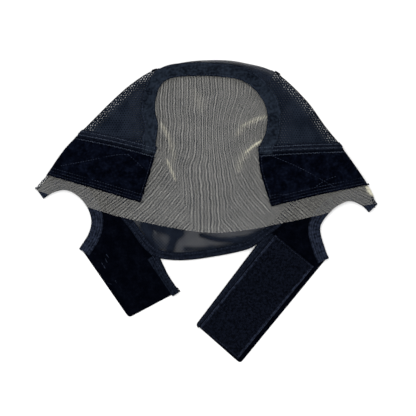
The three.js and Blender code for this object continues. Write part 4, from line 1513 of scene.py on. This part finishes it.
# %% Rows of hooks
def hook_recipe():
    inputs = {"Width": ("Float", 0.0), "Length": ("Float", 0.0)}
    inputs.update({"Pitch": ("Float", 1.35 * MM), "Bead": ("Float", 0.5 * MM), "Seed": ("Int", 7)})
    recipe = Recipe("hooks", inputs)
    pitch = recipe.number(recipe.given["Pitch"])
    sockets = {"Size X": recipe.given["Length"], "Size Y": recipe.given["Width"]}
    sockets["Vertices X"] = recipe.number(recipe.given["Length"]) / pitch
    sockets["Vertices Y"] = recipe.number(recipe.given["Width"]) / pitch
    rows = recipe.node("GeometryNodeMeshGrid", {}, sockets)
    seed = {"Seed": recipe.given["Seed"]}
    jitter = recipe.node("FunctionNodeRandomValue", dict(data_type="FLOAT_VECTOR"), seed)
    jitter.inputs[0].default_value = (-0.25 * MM, -0.25 * MM, -0.2 * MM)
    jitter.inputs[1].default_value = (0.25 * MM, 0.25 * MM, 0.2 * MM)
    sockets = {"Geometry": rows.outputs[0], "Offset": jitter.outputs[0]}
    spread = recipe.node("GeometryNodeSetPosition", {}, sockets)
    sockets = {"Segments": 6, "Rings": 4, "Radius": recipe.given["Bead"]}
    bead = recipe.node("GeometryNodeMeshUVSphere", {}, sockets)
    sockets = {"Points": spread.outputs[0], "Instance": bead.outputs[0]}
    set_in = recipe.node("GeometryNodeInstanceOnPoints", {}, sockets)
    recipe.finish_with(set_in.outputs[0], HOOK)
    return recipe


def hooks():
    start = bpy.data.objects.new("hook_rows", bpy.data.meshes.new("hook_rows"))
    bpy.context.collection.objects.link(start)
    mesh = hook_recipe().grow(start, Width=hook_wide - 6 * MM, Length=hook_long - 2.5 * MM)
    bpy.data.objects.remove(start)
    beads = np.empty(len(mesh.vertices) * 3)
    mesh.vertices.foreach_get("co", beads)
    beads = beads.reshape(-1, 3)
    run, across = HOOK_START + hook_long / 2 + beads[:, 0], HOOK_EDGE + hook_wide / 2 + beads[:, 1]
    plan = strap_frame("right")(run, across)
    placed = in_model(np.column_stack([plan, beads[:, 2] + 3.3 * MM]))
    mesh.vertices.foreach_set("co", placed.ravel())
    mesh.flip_normals()
    piece = bpy.data.objects.new("hooks", mesh)
    bpy.context.collection.objects.link(piece)
    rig.ride(piece, "root")
    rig.slot(piece, "hook")
    print("hooks:", len(mesh.polygons), "faces")


hooks()

# %% [markdown]
# ## Sewing
# Stitches tell the eye how a garment is made: a zigzag where stretch cloth meets velvet, three straight
# rows along a hem, one row along each tape. All of them are the same short thread set again and again
# along a line, which is work for Geometry Nodes. The thread is laid along the line, flat on the cloth,
# and for a zigzag every other one is turned the other way.

# %% The recipe for a row of stitches
def stitch_recipe():
    inputs = {"Step": ("Float", 2.3 * MM), "Long": ("Float", 1.9 * MM)}
    inputs.update({"Thick": ("Float", 0.5 * MM), "Turn": ("Float", 0.0)})
    recipe = Recipe("stitches", inputs)
    line = recipe.node("GeometryNodeMeshToCurve", {}, {0: recipe.given["Geometry"]})
    sockets = {"Curve": line.outputs[0], "Length": recipe.given["Step"]}
    paced = recipe.node("GeometryNodeResampleCurve", dict(mode="LENGTH"), sockets)
    tangent = recipe.node("GeometryNodeInputTangent")
    up = recipe.node("GeometryNodeInputNamedAttribute", dict(data_type="FLOAT_VECTOR"), {"Name": "up"})
    along = recipe.node("FunctionNodeAlignRotationToVector", dict(axis="X"), {"Vector": tangent.outputs[0]})
    sockets = {"Rotation": along.outputs[0], "Vector": up.outputs[0]}
    flat = recipe.node("FunctionNodeAlignRotationToVector", dict(axis="Z", pivot_axis="X"), sockets)
    index = recipe.number(recipe.node("GeometryNodeInputIndex").outputs[0])
    swing = (1 - index.math("MODULO", index, 2.0) * 2) * recipe.number(recipe.given["Turn"])
    turn = recipe.node("ShaderNodeCombineXYZ", {}, {2: swing})
    spin = recipe.node("FunctionNodeEulerToRotation", {}, {0: turn.outputs[0]})
    sockets = {"Rotation": flat.outputs[0], "Rotate By": spin.outputs[0]}
    way = recipe.node("FunctionNodeRotateRotation", dict(rotation_space="LOCAL"), sockets)
    stitch = recipe.node("GeometryNodeMeshUVSphere", {}, {"Segments": 6, "Rings": 4, "Radius": 0.5})
    thick = recipe.given["Thick"]
    size = recipe.node("ShaderNodeCombineXYZ", {}, {0: recipe.given["Long"], 1: thick, 2: thick})
    sockets = {"Points": paced.outputs[0], "Instance": stitch.outputs[0]}
    sockets.update({"Rotation": way.outputs[0], "Scale": size.outputs[0]})
    recipe.finish_with(recipe.node("GeometryNodeInstanceOnPoints", {}, sockets).outputs[0], THREAD)
    return recipe


STITCHES = stitch_recipe()

# %% Sew along lines
def level_at(height):
    return lambda points: np.full(len(points), height)


def on_velvet(points):
    return fold_over(points, OVERLAY, VELVET_WALL)[:, 2]


def on_strip(points):
    return fold_over(points, OVERLAY, TAPE_WALL, STRIP_PROUD)[:, 2]


def on_band(points):
    return front_underside(points) + OVERLAY + 1.2 * MM


def row_mesh(name, rows):
    corners, edges, ups = [], [], []
    for line, height in rows:
        step = 0.2 * MM
        level = height(line)
        slope = np.column_stack([(height(line + way) - level) / step for way in ((step, 0), (0, step))])
        up = np.column_stack([-slope, np.ones(len(line))])
        ups.append(up / np.linalg.norm(up, axis=1)[:, None])
        first = sum(map(len, corners))
        corners.append(in_model(np.column_stack([line, level])))
        edges.extend((first + k, first + k + 1) for k in range(len(line) - 1))
    mesh = bpy.data.meshes.new(name)
    mesh.from_pydata(np.vstack(corners).tolist(), edges, [])
    mesh.attributes.new("up", "FLOAT_VECTOR", "POINT").data.foreach_set("vector", np.vstack(ups).ravel())
    guide = bpy.data.objects.new(f"{name}_line", mesh)
    bpy.context.collection.objects.link(guide)
    return guide


def grown_piece(name, recipe, guide, slot_name, **sizes):
    mesh = recipe.grow(guide, **sizes)
    bpy.data.objects.remove(guide)
    mesh.polygons.foreach_set("use_smooth", np.ones(len(mesh.polygons), bool))
    piece = bpy.data.objects.new(name, mesh)
    bpy.context.collection.objects.link(piece)
    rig.ride(piece, "root")
    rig.slot(piece, slot_name)
    print(f"{name}: {len(mesh.polygons)} faces")
    return piece


def rethreaded(piece, thread):
    piece.data.materials.clear()
    piece.data.materials.append(thread)


# %% Rows on the velvet grips
HEM_ROWS = (1.9 * MM, 4.3 * MM, 6.9 * MM)
CROSSES = [
    [(62, 166), (95, 160), (114, 156), (129, 155)],
    [(130, 156), (136, 161), (143, 168)],
    [(272, 157), (300, 169), (333, 187)],
    [(269, 196), (277, 194.5), (286, 195)],
    [(316, 186), (325, 180), (334, 177)],
]


def inside_fold(line, gap=1.5 * MM):
    return line[into_fold(line)[0] > gap]


straight, zigzag = [], []
for side in SIDES.values():
    for gap in HEM_ROWS:
        straight.append((inside_fold(beside(smooth(side["lower"]), side["out"] * gap)), on_velvet))
    straight.append((beside(smooth(side["inner"]), side["out"] * 2.0 * MM)[3:-8], on_velvet))
    zigzag.append((inside_fold(beside(smooth(side["seam"]), side["out"] * 2.2 * MM)), on_velvet))
    zigzag.append((inside_fold(beside(smooth(side["seam"]), -side["out"] * 1.7 * MM), 0), on_strip))
    zigzag.append((inside_fold(beside(smooth(side["seam"]), -side["out"] * 4.9 * MM), 0), on_strip))
for row in CROSSES:
    straight.append((through(seen_at(row)), on_velvet))

# %% Rows on the tapes, the band and the straps
for gap in (1.3 * MM, 10.5 * MM):
    straight.append((beside(window_line, gap)[2:-2], on_band))
for side in SIDES.values():
    for gap in (1.5 * MM, 8.9 * MM):
        straight.append((beside(ear_line(side), gap)[1:-1], level_at(TAPE_TOP)))
nape_clear = back_seam_line[into_fold(back_seam_line)[0] > NET_HEM + 2 * MM]
for gap in (1.7 * MM, 5.6 * MM):
    straight.append((beside(nape_clear, gap), lambda points: TAPE_TOP + ridges(BACK_RIDGES, points)))
hook_rim = hook_corners()
rim_middle = hook_rim.mean(axis=0)
hook_rim = rim_middle + (hook_rim - rim_middle) * (0.977, 0.977)
straight.append((evenly(np.vstack([hook_rim, hook_rim[:1]])), level_at(3.45 * MM)))
for name, side in SIDES.items():
    strap, at = STRAPS[name], strap_frame(name)
    end = strap["length"] - 3.2 * MM
    start = at(18 * MM, strap["width"] + 0.8 * strap["flare"] - 1.5 * MM)
    stop = at(end + strap["slant"], strap["width"] - 1.4 * MM)
    straight.append((evenly(np.array([start, stop])), level_at(TAPE_TOP)))

grown_piece("straight_stitches", STITCHES, row_mesh("straight", straight), "tape")
zigzag_line = row_mesh("zigzag", zigzag)
zigzag_sizes = dict(Step=1.75 * MM, Long=1.9 * MM, Thick=0.7 * MM, Turn=0.6)
rethreaded(grown_piece("zigzag_stitches", STITCHES, zigzag_line, "tape", **zigzag_sizes), THREAD_PALE)

# %% Thread ends and lint
EDGE_MIDDLE = (FRONT_LEVEL + NET_WALL) / 2
SEAM_ENDS = [
    ([(153, 70.5), (156, 69.5)], EDGE_MIDDLE),
    ([(276, 72), (279, 74)], EDGE_MIDDLE),
    ([(365.5, 184), (368, 184.2)], EDGE_MIDDLE),
    ([(177.5, 288.5), (179.3, 290.8)], 1.1 * MM),
]
LINT = [
    [(106.5, 254.5), (108.4, 257)], [(105.6, 259), (107, 262)], [(102, 263), (102.6, 264)],
    [(108, 283), (111, 284)], [(115.6, 281), (116.4, 282.5)], [(104, 266), (105, 268)],
]
ends = [(evenly(seen_at(row), 0.8 * MM), level_at(height)) for row, height in SEAM_ENDS]
end_sizes = dict(Step=1.3 * MM, Long=2.4 * MM, Thick=1.6 * MM)
rethreaded(grown_piece("seam_ends", STITCHES, row_mesh("ends", ends), "tape", **end_sizes), THREAD_DARK)
fluff = [(evenly(seen_at(row), 0.6 * MM), level_at(VELVET_WALL)) for row in LINT]
lint_sizes = dict(Step=0.9 * MM, Long=1.2 * MM, Thick=0.5 * MM)
grown_piece("lint", STITCHES, row_mesh("lint", fluff), "velvet", **lint_sizes)

# %% [markdown]
# ### The sewn edge at the fold
# Net and back are overlocked along the fold, which leaves a thin firm edge: on the photograph it is the
# dark line that closes the outline beside the open net. A fine cord along the fold stands for it.

# %% Edge cord
def cord_recipe():
    recipe = Recipe("edge", {"Thick": ("Float", 0.38 * MM)})
    line = recipe.node("GeometryNodeMeshToCurve", {}, {0: recipe.given["Geometry"]})
    sockets = {"Resolution": 6, "Radius": recipe.given["Thick"]}
    round_wire = recipe.node("GeometryNodeCurvePrimitiveCircle", {}, sockets)
    sockets = {"Curve": line.outputs[0], "Profile Curve": round_wire.outputs[0], "Fill Caps": True}
    recipe.finish_with(recipe.node("GeometryNodeCurveToMesh", {}, sockets).outputs[0], THREAD_DARK)
    return recipe


def edge_run(name):
    out = SIDES[name]["out"]
    start = SIDES[name]["seam"][0][0] * HALF_SPAN
    end = SIDES[name]["crown_seam"][1][0] * HALF_SPAN
    between = (fold_line[:, 0] * out < abs(start) + 1 * MM) & (fold_line[:, 0] * out > abs(end) - 4 * MM)
    return fold_line[between]


edges = [(edge_run(name), level_at(EDGE_MIDDLE)) for name in SIDES]
grown_piece("fold_edges", cord_recipe(), row_mesh("fold_edges", edges), "net")

# %% [markdown]
# ## Table, light and camera
# The cap was photographed from straight above on a white table under a soft even light, so nearly all
# the light here comes from a white surround. The camera is far off with a long lens, which keeps the
# sides of the cap from leaning.

# %% Table
def table_top():
    mesh = bpy.data.meshes.new("floor")
    half, level = 1.5, -0.2 * MM
    corners = [(x, y, level) for x, y in ((-half, -half), (half, -half), (half, half), (-half, half))]
    mesh.from_pydata(corners, [], [(0, 1, 2, 3)])
    finish = Finish("white_table", Specular_IOR_Level=0.1)
    mesh.materials.append(finish.wear((0.86, 0.86, 0.86, 1), roughness=0.9))
    floor = bpy.data.objects.new("floor", mesh)
    bpy.context.collection.objects.link(floor)
    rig.stage(floor)


table_top()

# %% Light
SURROUND = 1.35
world = bpy.data.worlds.new("white_room")
world.use_nodes = True
world.node_tree.nodes["Background"].inputs[0].default_value = (1, 1, 1, 1)
world.node_tree.nodes["Background"].inputs[1].default_value = SURROUND
bpy.context.scene.world = world
soft = bpy.data.lights.new("soft_box", "AREA")
soft.size = 0.9
soft.energy = 9
soft_box = bpy.data.objects.new("soft_box", soft)
soft_box.location = (-0.5, 0.6, 1.3)
soft_box.rotation_euler = (-soft_box.location).to_track_quat("-Z", "Y").to_euler()
bpy.context.collection.objects.link(soft_box)
bpy.context.scene.view_settings.view_transform = "Standard"

# %% Camera
PHOTO_SIZE = 416
CAMERA_HEIGHT = 1.8
aim = seen_at((PHOTO_SIZE / 2, PHOTO_SIZE / 2)) + SHIFT
lens = bpy.data.cameras.new("camera")
lens.lens = lens.sensor_width * CAMERA_HEIGHT / (PHOTO_SIZE * PHOTO_PIXEL)
camera = bpy.data.objects.new("camera", lens)
camera.location = (*aim, CAMERA_HEIGHT)
bpy.context.collection.objects.link(camera)
bpy.context.scene.camera = camera
print("camera over", (aim / MM).round(1), "mm, lens", round(lens.lens, 1), "mm")

# %% Size of what is shown
import json

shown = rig.bounds()
with open("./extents.json", "w") as file:
    json.dump({"cad": [list(corner) for corner in SOLID_BOX], "visual": [list(corner) for corner in shown]}, file)
print("shown box:", [round(side / MM, 1) for side in shown[1] - shown[0]], "mm")
